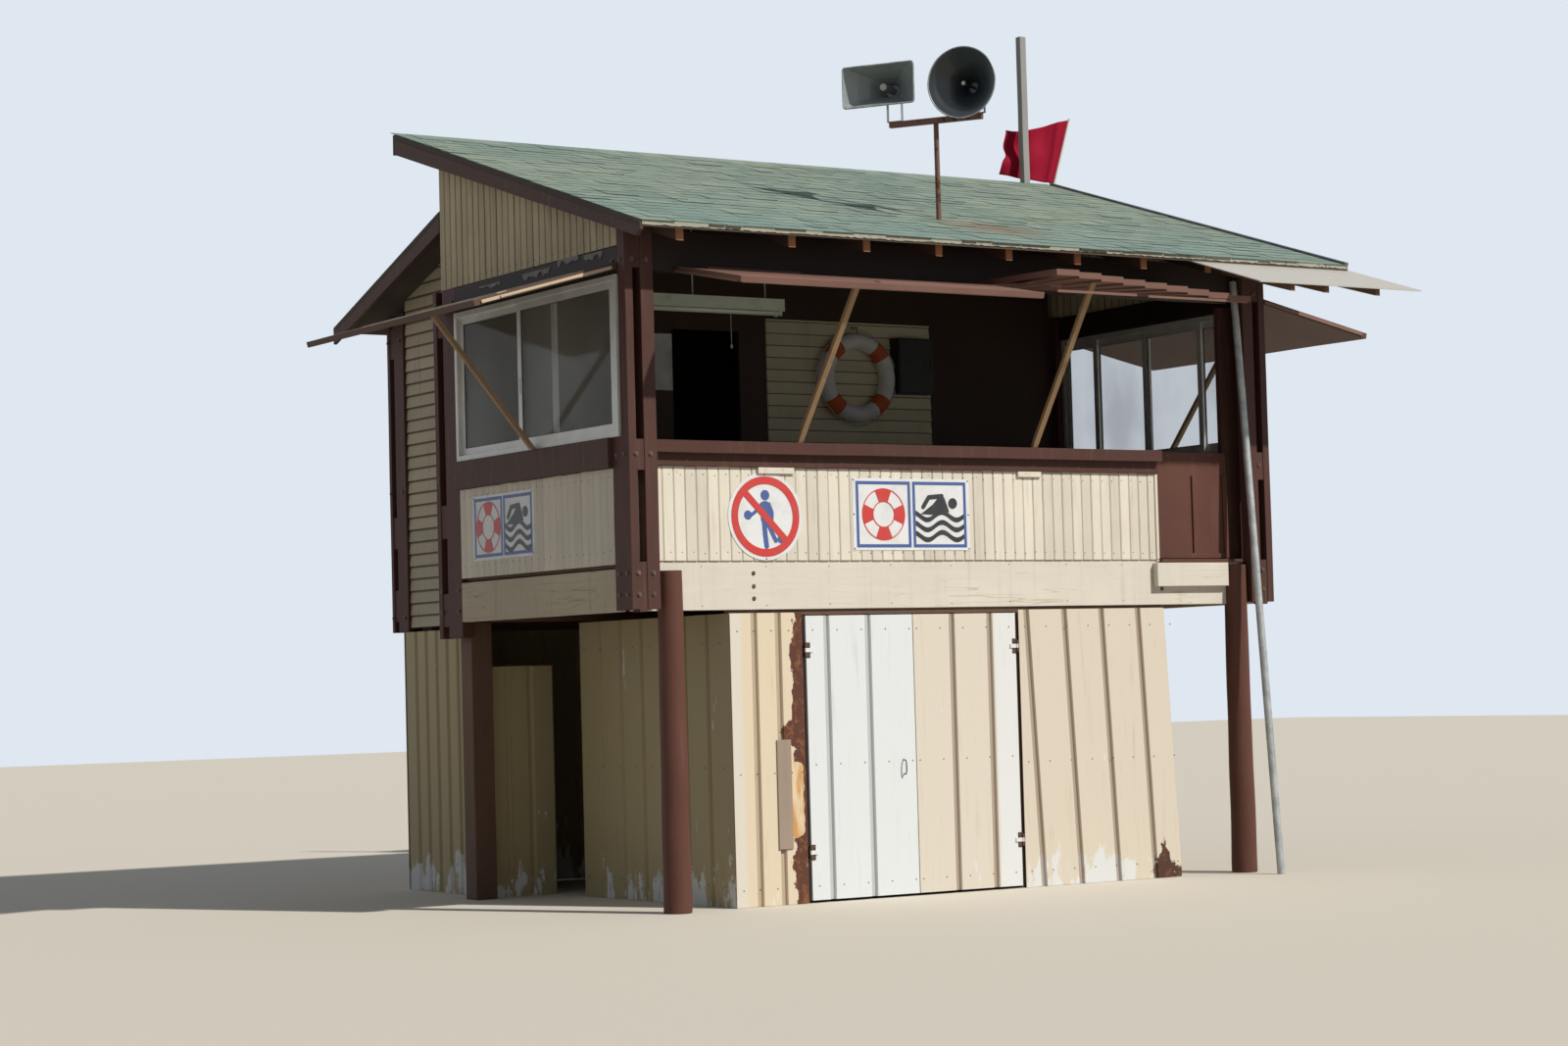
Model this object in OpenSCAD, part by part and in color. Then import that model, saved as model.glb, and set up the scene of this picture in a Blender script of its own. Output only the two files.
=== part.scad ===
// Lifeguard tower: a timber cabin on posts with a store of ribbed steel sheet under it.
// X runs along the long front, Y from the front to the back, Z up.
// The origin is the centre of the front left post's foot, on the ground.

/* [Building] */
// Length of the cabin over the corner columns
width = 5950; // [5000:50:7500]
// Depth from the front columns to the back of the rear columns
depth = 4540; // [4200:20:5000]
// Front of the middle columns, which is the depth of the front room
room_depth = 2607; // [2200:10:2800]
// Height of the underside of the edge beams
beam_z = 2135; // [1900:5:2600]
// Depth of the front edge beam
beam_h = 355; // [250:5:450]
// Thickness of the edge beams
beam_t = 80; // [50:5:120]
// Thickness of the floor boards
floor_t = 40; // [25:5:60]

// Width of the floor joists
joist_w = 60; // [45:5:90]
// Depth of the floor joists
joist_h = 150; // [100:5:200]
// Largest distance between floor joists
joist_step = 900; // [500:50:1200]

/* [Front and side walls] */
// Height of the boarded parapet above the floor
parapet_h = 676; // [500:2:900]
// Thickness of the boarded walls
wall_t = 45; // [35:5:80]
// Height of the brown band under the counter ledge
band_h = 91; // [60:1:150]
// Thickness of the counter ledge
ledge_t = 87; // [40:1:120]
// How far the ledge stands out from the boards
ledge_out = 80; // [40:5:120]
// Depth of the counter inside the room
counter_depth = 300; // [150:10:500]
// Width of the painted panel at the right end of the front
panel_w = 755; // [400:5:1200]
// Height of the brown sill band under the side windows
sill_h = 216; // [120:2:300]
// Height of the side windows
window_h = 1150; // [800:10:1250]
// Width of the aluminium window sections
sash_w = 55; // [35:1:90]
// Underside of the header beams above the floor
head_h = 2070; // [1980:10:2200]
// Height of the header beams
header_h = 160; // [120:5:220]

/* [Columns] */
// Depth of the column planks
plank_d = 100; // [70:5:130]
// Width of the outer plank of a corner column
plank_a = 63; // [45:1:80]
// Slot between the two planks of a corner column
slot_w = 64; // [40:1:80]
// Width of the inner plank of a corner column
plank_b = 104; // [80:1:130]
// Width of the middle and rear columns along the side
side_column_w = 393; // [300:1:420]
// Thickness of the middle and rear columns
side_column_t = 95; // [60:5:130]

/* [Posts] */
// Distance of the front posts' centre line from the column's outer face
post_inset = 365; // [350:5:400]
// Distance of the front posts' centre line behind the column's front
post_back = 100; // [95:5:150]
// Diameter of the round front posts at the ground
post_d = 190; // [150:5:220]
// Side of the square inner posts
inner_post = 180; // [120:5:220]

/* [Roof] */
// Top of the front roof at its eave
eave_z = 4830; // [4780:5:5300]
// Overhang of the front eave
eave_out = 400; // [250:10:600]
// Rise of the front roof for each millimetre of run
front_pitch = 0.317; // [0.2:0.001:0.4]
// Overhang of the ridge behind the upper wall
ridge_out = 550; // [300:10:700]
// Overhang of the front roof at the left
rake_left = 100; // [50:10:400]
// Overhang of the front roof at the right
rake_right = 550; // [100:10:700]
// Thickness of the roof boards with their shingles
roof_t = 42; // [25:1:80]
// Depth of the rafters
rafter_h = 95; // [80:5:180]
// Width of the rafters
rafter_w = 60; // [40:5:90]
// Distance between rafters
rafter_step = 648; // [500:2:800]
// Depth of the fascia boards on the roof's sloping ends
fascia_h = 120; // [80:5:180]
// Thickness of the fascia boards
fascia_t = 30; // [18:1:45]
// Distance of the upper wall behind the front of the middle columns
upper_wall_back = 203; // [180:5:350]
// Top of the rear roof where it meets the upper wall
rear_top_z = 5350; // [5250:10:5450]
// Fall of the rear roof for each millimetre of run
rear_pitch = 0.354; // [0.3:0.001:0.4]
// Overhang of the rear eave
rear_out = 290; // [150:10:400]
// Overhang of the rear roof at the right; at the left it ends flush with the gable
rear_rake = 350; // [330:10:500]
// Distance of the rear bay's sides in from the ends of the cabin
rear_inset = 345; // [200:5:500]

// Length of the roof sheet to the left of the cabin's right end
sheet_in = 1080; // [600:20:1600]
// Length of the roof sheet down the slope
roof_sheet_l = 840; // [400:20:1000]

/* [Store] */
// Distance of the store's left wall from the left end of the cabin
store_left = 865; // [600:5:1200]
// Distance of the store's right wall from the left end of the cabin
store_right = 4880; // [4600:5:5100]
// Hinged edge of the left door leaf
door_left_x = 1515; // [1300:5:1700]
// Hinged edge of the right door leaf
door_right_x = 3425; // [3100:5:3600]
// Height of the doors' tops below the beams
door_top_gap = 49; // [40:1:300]
// Gap under the door leaves
door_gap = 18; // [10:1:40]
// Height of the fixed steel panels
sheet_h = 2110; // [1900:5:2130]
// Thickness of the ribbed sheet
sheet_t = 4; // [3:0.5:8]
// Depth of the ribs in the sheet
rib_d = 22; // [10:1:40]
// Width of a groove between two ribs
groove_w = 56; // [30:1:90]
// Angle by which the right hand sheets are out of plumb
sheet_skew = 2.7; // [0:0.1:4]
// Height of the low panel beside the store's side entrance
low_panel_h = 1790; // [1200:10:2000]
// Width of the side entrance to the store
side_gap = 500; // [300:10:700]

/* [Hatches] */
// Height of the hatch hinges above the floor
hinge_h = 2110; // [2000:5:2140]
// Thickness of a hatch
hatch_t = 45; // [25:1:70]
// Left edge of the first front hatch
hatch1_x = 480; // [300:5:700]
// Width of the first front hatch
hatch1_w = 2640; // [2000:10:2700]
// Length of the first front hatch
hatch1_l = 890; // [600:10:1300]
// Slope of the first front hatch
hatch1_tilt = 11.5; // [3:0.5:25]
// Width of the second front hatch
hatch2_w = 1880; // [1200:10:2100]
// Length of the second front hatch
hatch2_l = 990; // [600:10:1300]
// Slope of the second front hatch at its left end
hatch2_tilt_left = 1.5; // [0:0.5:10]
// Slope of the second front hatch at its right end
hatch2_tilt_right = 8.5; // [2:0.5:20]
// Length of the side hatches
side_hatch_l = 1180; // [800:10:1400]
// Slope of the left hatch
left_tilt = 15.5; // [5:0.5:25]
// Slope of the right hatch
right_tilt = 12; // [5:0.5:25]

/* [Pipe] */
// Distance of the leaning pipe's foot from the right end
pipe_in = 330; // [300:5:400]
// Distance of the leaning pipe's foot in front of the columns
pipe_out = 340; // [150:10:500]

// Diameter of the leaning pipe
pipe_d = 60; // [30:1:90]

/* [Roof equipment] */
// Position of the loudspeaker pole from the left end
pole_x = 3180; // [1000:10:5000]
// Position of the loudspeaker pole from the front
pole_y = 600; // [300:10:2000]
// Height of the loudspeaker pole above the roof
pole_h = 760; // [400:10:1200]
// Diameter of the loudspeaker pole
pole_d = 40; // [30:1:60]
// Turn of the loudspeakers about the pole
speaker_turn = -57; // [-90:1:90]
// Diameter of the round horn's mouth
horn_d = 545; // [400:5:600]
// Width of the square horn's mouth
horn_w = 590; // [450:5:650]
// Height of the square horn's mouth
horn_h = 318; // [250:2:360]
// Side of the square mast
mast_w = 66; // [40:2:100]
// Top of the mast
mast_top = 7390; // [6500:10:8000]

/* [Hidden] */
$fn = 48;
// Small gap between pieces that move or that lie loosely against each other
seat_gap = 0.3;
// Heights that follow from the floor
floor_z = beam_z + beam_h;
parapet_z = floor_z + parapet_h;
counter_z = parapet_z + band_h + ledge_t;
sill_z = counter_z + 26;
window_top = sill_z + window_h;
head_z = floor_z + head_h;
plate_z = head_z + header_h;
hinge_z = floor_z + hinge_h;
// Lines that follow from the plan
clad_y = plank_d;
beam_y = clad_y + 14;
corner_w = plank_a + slot_w + plank_b;
rear_column_y = depth - 300;
upper_wall_y = room_depth + upper_wall_back;
ridge_y = upper_wall_y + wall_t + ridge_out;
sheet_y1 = -eave_out + 60;
rear_eave_y = depth + rear_out;
partition_y = room_depth + 93;
// Sizes of the smaller pieces
side_plank_w = 130;
core_x = 40;
back_drop = 35;
brown_end = width - 340;
cross_y = room_depth + 60;
back_wall_y = depth - 140;
bay_y = partition_y + wall_t + 3;
bay_x = rear_inset + side_column_t;
rear_wall_x = rear_inset + 20;
hatch2_boards = 9;
sill_out = 40;
post_top_r = post_d / 2 - 5;
post_right_x = width - corner_w - post_top_r - seat_gap;
lath_h = 22;
door_y = clad_y + 10;
door_h = beam_z - door_gap - door_top_gap;
leaf_gap = 8;
jamb_w = 60;
door_frame = 40;
hinge_r = 9;
hinge_l = 90;
hinge_low = 320;
hinge_high = 1790;
knuckle = hinge_l / 3;
// Grooves of the leaves from their hinge lines, and of the right panel from its outer edge inwards
left_grooves = [182, 549];
right_grooves = [243, 595];
outer_groove = 262;
groove_step = 364;
side_top = head_z + header_h + 6;

function roof_z(y) = eave_z + (y + eave_out) * front_pitch;
function roof_under(y) = roof_z(y) - roof_t;
// Rafters stand one step apart, but the first and the last stand beside the corner columns
rafter_start = 557;
rafter_end = corner_w + 34;
function rafter_x(i) = i == 0 ? rafter_end : min(rafter_start + i * rafter_step, width - rafter_end);
function rear_z(y) = rear_top_z - (y - upper_wall_y - wall_t) * rear_pitch;
function rear_under(y) = rear_z(y) - roof_t;

// Everything is drawn from the outer front left corner and placed from the post's foot
module placed() {
    translate([-post_inset, -post_back, 0]) children();
}

module block(low, high) {
    translate(low) cube(high - low);
}

// An outline in depth and height, drawn along X
module along_x(x0, x1, outline) {
    translate([x0, 0, 0]) rotate([90, 0, 90]) linear_extrude(x1 - x0) polygon(outline);
}

module mirrored() {
    children();
    translate([width, 0, 0]) mirror([1, 0, 0]) children();
}

// Section of the ribbed sheet: broad flats with narrow trapezoidal grooves at the given places
function sheet_face(length, grooves) = concat([[0, 0]],
    [for (x = grooves) each [
        [x - groove_w / 2, 0], [x - groove_w / 4, rib_d], [x + groove_w / 4, rib_d], [x + groove_w / 2, 0]]],
    [[length, 0]]);

function evenly(length, flats) = [for (i = [1:flats - 1]) i * length / flats];

module ribbed_sheet(length, height, grooves) {
    face = sheet_face(length, grooves);
    last = len(face) - 1;
    back = [for (i = [last:-1:0]) face[i] + [0, sheet_t]];
    linear_extrude(height) polygon(concat(face, back));
}

// Posts
module round_post(x, top, notch_y) {
    difference() {
        translate([x, post_back, 0]) cylinder(d1 = post_d + 14, d2 = post_d - 14, h = top);
        block([x - post_d, notch_y, beam_z], [x + post_d, notch_y + post_d * 2, top + 1]);
    }
}

module posts_front() {
    color("sienna") placed() {
        round_post(post_inset, beam_z + 285, beam_y);
        round_post(post_right_x, beam_z + 305, beam_y);
    }
}

module posts_inner() {
    color("saddlebrown") placed() mirrored()
        for (at = [[side_column_t, room_depth + 45], [rear_inset + side_column_t, rear_column_y - 230]])
            block([at[0], at[1], 0], [at[0] + inner_post, at[1] + inner_post, beam_z]);
}

// Store
jamb_left = door_left_x - leaf_gap - jamb_w;
jamb_right = door_right_x + leaf_gap;
frame_y = door_y + sheet_t + rib_d;

module store_frame() {
    color("saddlebrown") placed() {
        for (x = [store_left + sheet_t, jamb_left, jamb_right, store_right - sheet_t - jamb_w])
            block([x, frame_y, 0], [x + jamb_w, frame_y + jamb_w, beam_z]);
        block([store_left + sheet_t + jamb_w, frame_y, door_h + door_gap + 8],
            [store_right - sheet_t - jamb_w, frame_y + 40, beam_z]);
        for (x = [door_left_x - hinge_r, door_right_x + hinge_r], z = [hinge_low, hinge_high])
            hinge_ends(x, z);
    }
}

// The fixed knuckles of a hinge and their straps, above and below the leaf's knuckle
module hinge_ends(x, z) {
    for (dz = [0, 2 * knuckle]) translate([x, door_y - hinge_r, z + dz]) cylinder(r = hinge_r, h = knuckle);
    side = x < (door_left_x + door_right_x) / 2 ? -1 : 1;
    for (dz = [0, 2 * knuckle])
        block([min(x, x + side * 4), door_y - hinge_r, z + dz], [max(x, x + side * 4), frame_y, z + dz + knuckle]);
}

module store_panel_left() {
    length = door_left_x - leaf_gap * 2 - hinge_r * 2 - store_left;
    color("wheat") placed() translate([store_left, door_y, 0])
        ribbed_sheet(length, sheet_h, evenly(length, 3));
}

// A leaf with its hinge line at x = 0 and its free edge at x = length
module door_leaf(length, grooves) {
    translate([0, door_y, door_gap]) {
        ribbed_sheet(length, door_h, grooves);
        for (z = [0, door_h - door_frame]) translate([0, sheet_t, z]) cube([length, rib_d + 14, door_frame]);
        for (x = [0, length - door_frame]) translate([x, sheet_t, 0]) cube([door_frame, rib_d + 14, door_h]);
    }
    for (z = [hinge_low, hinge_high]) {
        translate([-hinge_r, door_y - hinge_r, z + knuckle + seat_gap]) cylinder(r = hinge_r, h = knuckle - 2 * seat_gap);
        translate([-hinge_r, door_y - hinge_r, z + knuckle + seat_gap])
            cube([hinge_r + 55, hinge_r, knuckle - 2 * seat_gap]);
    }
}

module store_door_left() {
    length = (door_right_x - door_left_x - leaf_gap) / 2;
    color("whitesmoke") placed() translate([door_left_x, 0, 0]) door_leaf(length, left_grooves);
}

module store_door_right() {
    length = (door_right_x - door_left_x - leaf_gap) / 2;
    color("navajowhite") placed() translate([door_right_x, 0, 0]) mirror([1, 0, 0]) door_leaf(length, right_grooves);
}

module store_panel_right() {
    x0 = door_right_x + leaf_gap * 2 + hinge_r * 2;
    length = store_right - x0 + 210;
    color("navajowhite") placed() intersection() {
        translate([store_right + 10, door_y, sheet_h]) rotate([0, -sheet_skew, 0])
            translate([-length, 0, -sheet_h - 200])
            ribbed_sheet(length, sheet_h + 400, [for (i = [3:-1:0]) length - outer_groove - i * groove_step]);
        block([x0, 0, 0], [store_right + 300, 400, sheet_h]);
    }
}

// Sheets that run back under the cabin at both ends, the back, and the panels at the left rear
module store_walls() {
    side_l = room_depth + 200 - side_gap - door_y;
    rear_y = rear_column_y + 60;
    rear_h = beam_z - back_drop - seat_gap;
    back_l = store_right + 30 - rear_inset;
    bay_l = rear_y - room_depth - side_column_w - 5;
    post_x = side_column_t + inner_post;
    color("wheat") placed() {
        translate([store_left, door_y + 12, 0]) rotate([0, 0, 90]) mirror([0, 1, 0]) ribbed_sheet(side_l, sheet_h, evenly(side_l, 7));
        translate([store_right, door_y + 12, 0]) rotate([0, 0, 90]) ribbed_sheet(rear_y - door_y, sheet_h, evenly(rear_y - door_y, 11));
        translate([store_right + 30, rear_y + 30, 0]) rotate([0, 0, 180])
            ribbed_sheet(back_l, rear_h, evenly(back_l, 14));
        translate([rear_inset, rear_y, 0]) rotate([0, 0, -90])
            ribbed_sheet(bay_l, rear_h, evenly(bay_l, 7));
        translate([post_x, room_depth + 170, 0]) ribbed_sheet(store_left - post_x, low_panel_h, evenly(store_left - post_x, 3));
    }
}

// Floor
module floor_deck() {
    color("peru") placed() {
        block([wall_t, clad_y + wall_t, floor_z - floor_t], [width - wall_t, room_depth, floor_z]);
        block([side_column_t, room_depth, floor_z - floor_t], [width - side_column_t, bay_y - 3, floor_z]);
        block([bay_x, bay_y - 3, floor_z - floor_t], [width - bay_x, back_wall_y, floor_z]);
    }
}

// Joists under the room and the rear bay, and the two beams across the cabin that carry their ends
module floor_joists() {
    joists = floor((width - 1200) / joist_step);
    under = floor_z - floor_t;
    color("peru") placed() {
        for (i = [0:joists]) {
            x = 600 + i * (width - 1200) / joists;
            block([x - joist_w / 2, beam_y + beam_t, under - joist_h],
                [x + joist_w / 2, cross_y - seat_gap, under]);
            block([x - joist_w / 2, cross_y + beam_t + seat_gap, under - joist_h],
                [x + joist_w / 2, rear_column_y - 180 - seat_gap, under]);
        }
        block([side_column_t, cross_y, beam_z], [width - side_column_t, cross_y + beam_t, under]);
        block([bay_x, rear_column_y - 180, beam_z], [width - bay_x, rear_column_y - 180 + beam_t, under]);
    }
}

module edge_beams() {
    color("oldlace") placed() {
        block([beam_t, beam_y, beam_z], [width - beam_t, beam_y + beam_t, floor_z - floor_t]);
        block([beam_t, beam_y, floor_z - floor_t], [width - beam_t, clad_y + wall_t, floor_z]);
        mirrored() block([0, clad_y + side_plank_w, beam_z], [beam_t, room_depth, floor_z - floor_t - 14]);
    }
}

// Columns: pairs of planks with spacer blocks between them
module corner_column() {
    top = roof_under(0) - 8;
    block([0, 0, beam_z + 10], [plank_a, plank_d, top]);
    block([plank_a + slot_w, 0, beam_z + 10], [corner_w, plank_d, top]);
    block([plank_a, 6, beam_z - 8], [plank_a + slot_w, plank_d, beam_z + 345]);
    block([plank_a, 6, parapet_z - 40], [plank_a + slot_w, plank_d, counter_z]);
    block([plank_a, 6, head_z], [plank_a + slot_w, plank_d, top]);
    block([0, plank_d, beam_z + 5], [core_x, plank_d + side_plank_w, sill_z]);
}

module columns_front() {
    color("sienna") placed() {
        mirrored() corner_column();
        block([core_x, clad_y + wall_t, floor_z], [corner_w, clad_y + side_plank_w, window_top]);
        block([brown_end + 2, clad_y + wall_t + 35, floor_z], [width - core_x, clad_y + side_plank_w, window_top]);
    }
}

// A column of two planks with a slot, standing in the side wall
module side_column(y0, w, bottom, top) {
    slot0 = w * 0.58;
    slot1 = w * 0.84;
    block([0, y0, bottom], [side_column_t, y0 + slot0, top]);
    block([0, y0 + slot1, bottom], [side_column_t, y0 + w, top]);
    for (z = [bottom + 90, floor_z + 300, head_z - 200])
        block([8, y0 + slot0, z], [side_column_t, y0 + slot1, z + 260]);
}

module columns_side() {
    color("saddlebrown") placed() mirrored() {
        side_column(room_depth, side_column_w, beam_z - 121, side_top);
        translate([rear_inset, 0, 0]) side_column(rear_column_y, 300, beam_z - back_drop, rear_under(depth) - 8);
    }
}

// Walls of the front room
module parapet_front() {
    color("oldlace") placed() block([core_x + 1, clad_y, floor_z],
        [brown_end - panel_w, clad_y + wall_t, parapet_z]);
}

module counter_ledge() {
    end = brown_end - panel_w;
    color("sienna") placed() {
        block([corner_w + 1, clad_y - 22, parapet_z], [end, clad_y + wall_t, parapet_z + band_h]);
        block([corner_w + 4, clad_y - ledge_out, parapet_z + band_h],
            [end, clad_y + counter_depth, counter_z]);
        block([end, clad_y + wall_t + 22, counter_z - 30], [brown_end, clad_y + counter_depth, counter_z]);
    }
}

module front_brown_panel() {
    color("brown") placed() {
        block([brown_end - panel_w, clad_y + 45, floor_z], [brown_end, clad_y + 45 + 22, counter_z]);
        block([brown_end - panel_w, clad_y - 35, floor_z - lath_h], [width - corner_w - 1, clad_y, floor_z]);
        block([brown_end - panel_w - 55, clad_y - 45, floor_z - lath_h - 190],
            [post_right_x - post_top_r - 12, beam_y, floor_z - lath_h - 6]);
    }
}

module side_walls() {
    color("oldlace") placed() mirrored()
        block([0, clad_y + side_plank_w, floor_z - floor_t + 20], [wall_t, room_depth, sill_z - sill_h]);
}

module window_sills() {
    color("sienna") placed() mirrored()
        block([-sill_out, clad_y + side_plank_w, sill_z - sill_h], [wall_t + 40, room_depth, sill_z]);
}

// Aluminium sliding windows: two wide sashes that overlap at the left, four narrow ones at the right.
// Each sash is [start, end, place in the thickness of the wall].
window_y0 = clad_y + 5;
window_y1 = room_depth - 2;
window_mid = (window_y0 + window_y1) / 2;
track_out = -14;
track_in = 10;
sash0 = window_y0 + sash_w - 15;
sash1 = window_y1 - sash_w + 15;
left_sashes = [[sash0, window_mid + 235, track_out], [window_mid - 305, sash1, track_in]];
right_sashes = [[sash0, window_mid - 540, track_out], [window_mid - 600, window_mid + 160, track_in],
    [window_mid + 100, window_mid + 825, track_out], [window_mid + 765, sash1, track_in]];

module at_right() {
    translate([width, 0, 0]) mirror([1, 0, 0]) children();
}

module sash(s) {
    z0 = sill_z + sash_w - 15;
    z1 = window_top - sash_w + 15;
    difference() {
        block([s[2], s[0], z0], [s[2] + 22, s[1], z1]);
        block([s[2] - 1, s[0] + sash_w, z0 + sash_w], [s[2] + 23, s[1] - sash_w, z1 - sash_w]);
    }
}

module pane(s) {
    block([s[2] + 8, s[0] + sash_w, sill_z + 2 * sash_w - 15], [s[2] + 14, s[1] - sash_w, window_top - 2 * sash_w + 15]);
}

module window_frames() {
    color("gainsboro") placed() {
        mirrored() difference() {
            block([-20, window_y0, sill_z], [38, window_y1, window_top]);
            block([-21, sash0, sill_z + sash_w - 15], [39, sash1, window_top - sash_w + 15]);
        }
        for (s = left_sashes) sash(s);
        at_right() for (s = right_sashes) sash(s);
    }
}

module window_glass() {
    color("lightblue", 0.4) placed() {
        for (s = left_sashes) pane(s);
        at_right() for (s = right_sashes) pane(s);
    }
}

module headers() {
    color("saddlebrown") placed() {
        block([corner_w + 1, clad_y, head_z], [width - corner_w - 1, clad_y + side_plank_w, roof_under(clad_y) - rafter_h]);
        mirrored() block([0, clad_y + 1, window_top + 1], [wall_t + 20, room_depth - 1, plate_z]);
    }
}

// The wall across the cabin, with a doorway into the rear bay
doorway_x0 = 2000;
doorway_x1 = 2640;
doorway_h = 2000;

module partition_wall() {
    top = roof_under(partition_y) - rafter_h;
    color("oldlace") placed() {
        block([side_column_t + 1, partition_y, floor_z], [doorway_x0, partition_y + wall_t, top]);
        block([doorway_x1, partition_y, floor_z], [width - side_column_t - 1, partition_y + wall_t, top]);
        block([doorway_x0 + seat_gap, partition_y, floor_z + doorway_h],
            [doorway_x1 - seat_gap, partition_y + wall_t, top]);
    }
}

// Walls of the rear bay
module rear_walls() {
    y0 = upper_wall_y + wall_t + 1;
    y1 = rear_column_y - 1;
    w1 = back_wall_y + wall_t;
    color("oldlace") placed() {
        along_x(bay_x, width - bay_x,
            [[back_wall_y, beam_z], [w1, beam_z], [w1, rear_under(w1) - seat_gap],
             [back_wall_y, rear_under(back_wall_y) - seat_gap]]);
        mirrored() along_x(rear_wall_x, rear_wall_x + wall_t,
            [[bay_y, beam_z], [y1, beam_z], [y1, rear_under(y1) - 1], [y0, rear_under(y0) - 1],
             [y0, plate_z + 11], [bay_y, plate_z + 11]]);
    }
}

module gables() {
    y0 = clad_y + 2;
    y1 = upper_wall_y + wall_t;
    color("wheat") placed() mirrored() along_x(0, wall_t,
        [[y0, side_top], [y1, side_top], [y1, roof_under(y1) - 1], [y0, roof_under(y0) - 1]]);
}

module upper_wall() {
    y1 = upper_wall_y + wall_t;
    color("wheat") placed() along_x(wall_t, width - wall_t,
        [[upper_wall_y, plate_z + 12], [y1, plate_z + 12], [y1, roof_under(upper_wall_y) - 2],
         [upper_wall_y, roof_under(upper_wall_y) - 2]]);
}

// Roof
module roof_front() {
    color("mediumaquamarine") placed() along_x(-rake_left, width + rake_right,
        [[-eave_out, roof_under(-eave_out)], [ridge_y, roof_under(ridge_y)],
         [ridge_y, roof_z(ridge_y)], [-eave_out, roof_z(-eave_out)]]);
}

module roof_back() {
    y0 = upper_wall_y + wall_t + 1;
    color("mediumaquamarine") placed() along_x(0, width + rear_rake,
        [[y0, rear_under(y0)], [rear_eave_y, rear_under(rear_eave_y)],
         [rear_eave_y, rear_z(rear_eave_y)], [y0, rear_z(y0)]]);
}

// Rafters under both roofs
module rafters() {
    f0 = -eave_out + 70;
    f1 = upper_wall_y - 1;
    b0 = upper_wall_y + wall_t + 2;
    b1 = back_wall_y - 1;
    color("peru") placed() for (i = [0:floor((width - rafter_start - wall_t - rafter_w) / rafter_step)]) {
        x = rafter_x(i) - rafter_w / 2;
        translate([0, 0, -seat_gap]) {
            along_x(x, x + rafter_w, [[f0, roof_under(f0) - rafter_h], [f1, roof_under(f1) - rafter_h],
                [f1, roof_under(f1)], [f0, roof_under(f0)]]);
            if (x > bay_x && x + rafter_w < width - bay_x) along_x(x, x + rafter_w, [[b0, rear_under(b0) - rafter_h], [b1, rear_under(b1) - rafter_h],
                [b1, rear_under(b1)], [b0, rear_under(b0)]]);
        }
    }
}

module rake_board(x, y0, y1) {
    translate([0, 0, -seat_gap]) along_x(x, x + fascia_t, [[y0, roof_under(y0) - 20], [y0 + 60, roof_under(y0) - 60],
        [y1, roof_under(y1) - fascia_h], [y1, roof_under(y1)], [y0, roof_under(y0)]]);
}

// Boards on the sloping ends of both roofs and behind the ridge
module fascia_boards() {
    y0 = -eave_out;
    y1 = ridge_y;
    r0 = upper_wall_y + wall_t + 1;
    color("saddlebrown") placed() {
        rake_board(-rake_left, y0, y1);
        rake_board(width + rake_right - fascia_t, sheet_y1 + seat_gap, y1);
        block([-rake_left, ridge_y + seat_gap, roof_under(ridge_y) - fascia_h], [width + rake_right, ridge_y + fascia_t, roof_z(ridge_y)]);
        for (x = [0, width + rear_rake - fascia_t]) along_x(x, x + fascia_t,
            [[r0, rear_under(r0) - fascia_h], [rear_eave_y, rear_under(rear_eave_y) - fascia_h * 0.8],
             [rear_eave_y, rear_under(rear_eave_y) - seat_gap], [r0, rear_under(r0) - seat_gap]]);
    }
}

// Hatches: boarded flaps hung from the headers, held open by props
hatch2_x = hatch1_x + hatch1_w + 30;

// A flap's lower back edge swings towards the wall, so its hinge line stands off by that much
function stand_off(tilt) = hatch_t * sin(tilt) + seat_gap;

// Where each flap hangs: its hinge corner, and its turn about Z
module at_hatch1() {
    placed() translate([hatch1_x, clad_y - stand_off(hatch1_tilt), hinge_z]) children();
}

module at_hatch2() {
    placed() translate([hatch2_x, clad_y - stand_off(hatch2_tilt_right), hinge_z + 10]) children();
}

side_hatch_w = room_depth + 140;

module at_hatch_left() {
    placed() translate([-stand_off(left_tilt), clad_y + side_hatch_w, hinge_z]) rotate([0, 0, -90]) children();
}

module at_hatch_right() {
    placed() translate([width + stand_off(right_tilt), 50, hinge_z]) rotate([0, 0, 90]) children();
}

// A flap of boards that hangs along -Y from its hinge line; each board may be turned a little further
module flap(w, l, tilt0, tilt1, boards) {
    for (i = [0:boards - 1]) {
        a = boards > 1 ? tilt0 + (tilt1 - tilt0) * i / (boards - 1) : tilt0;
        translate([i * w / boards, 0, 0]) rotate([a, 0, 0]) translate([0, -l, -hatch_t]) cube([w / boards + 0.01, l, hatch_t]);
    }
}

module hatch_front_left() {
    color("sienna") at_hatch1() flap(hatch1_w, hatch1_l, hatch1_tilt, hatch1_tilt, 1);
}

module hatch_front_right() {
    color("sienna") at_hatch2() flap(hatch2_w, hatch2_l, hatch2_tilt_left, hatch2_tilt_right, hatch2_boards);
}

module hatch_side_left() {
    color("sienna") at_hatch_left() flap(side_hatch_w, side_hatch_l, left_tilt, left_tilt, 1);
}

module hatch_side_right() {
    color("sienna") at_hatch_right() flap(side_hatch_w, side_hatch_l, right_tilt, right_tilt, 1);
}

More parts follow.
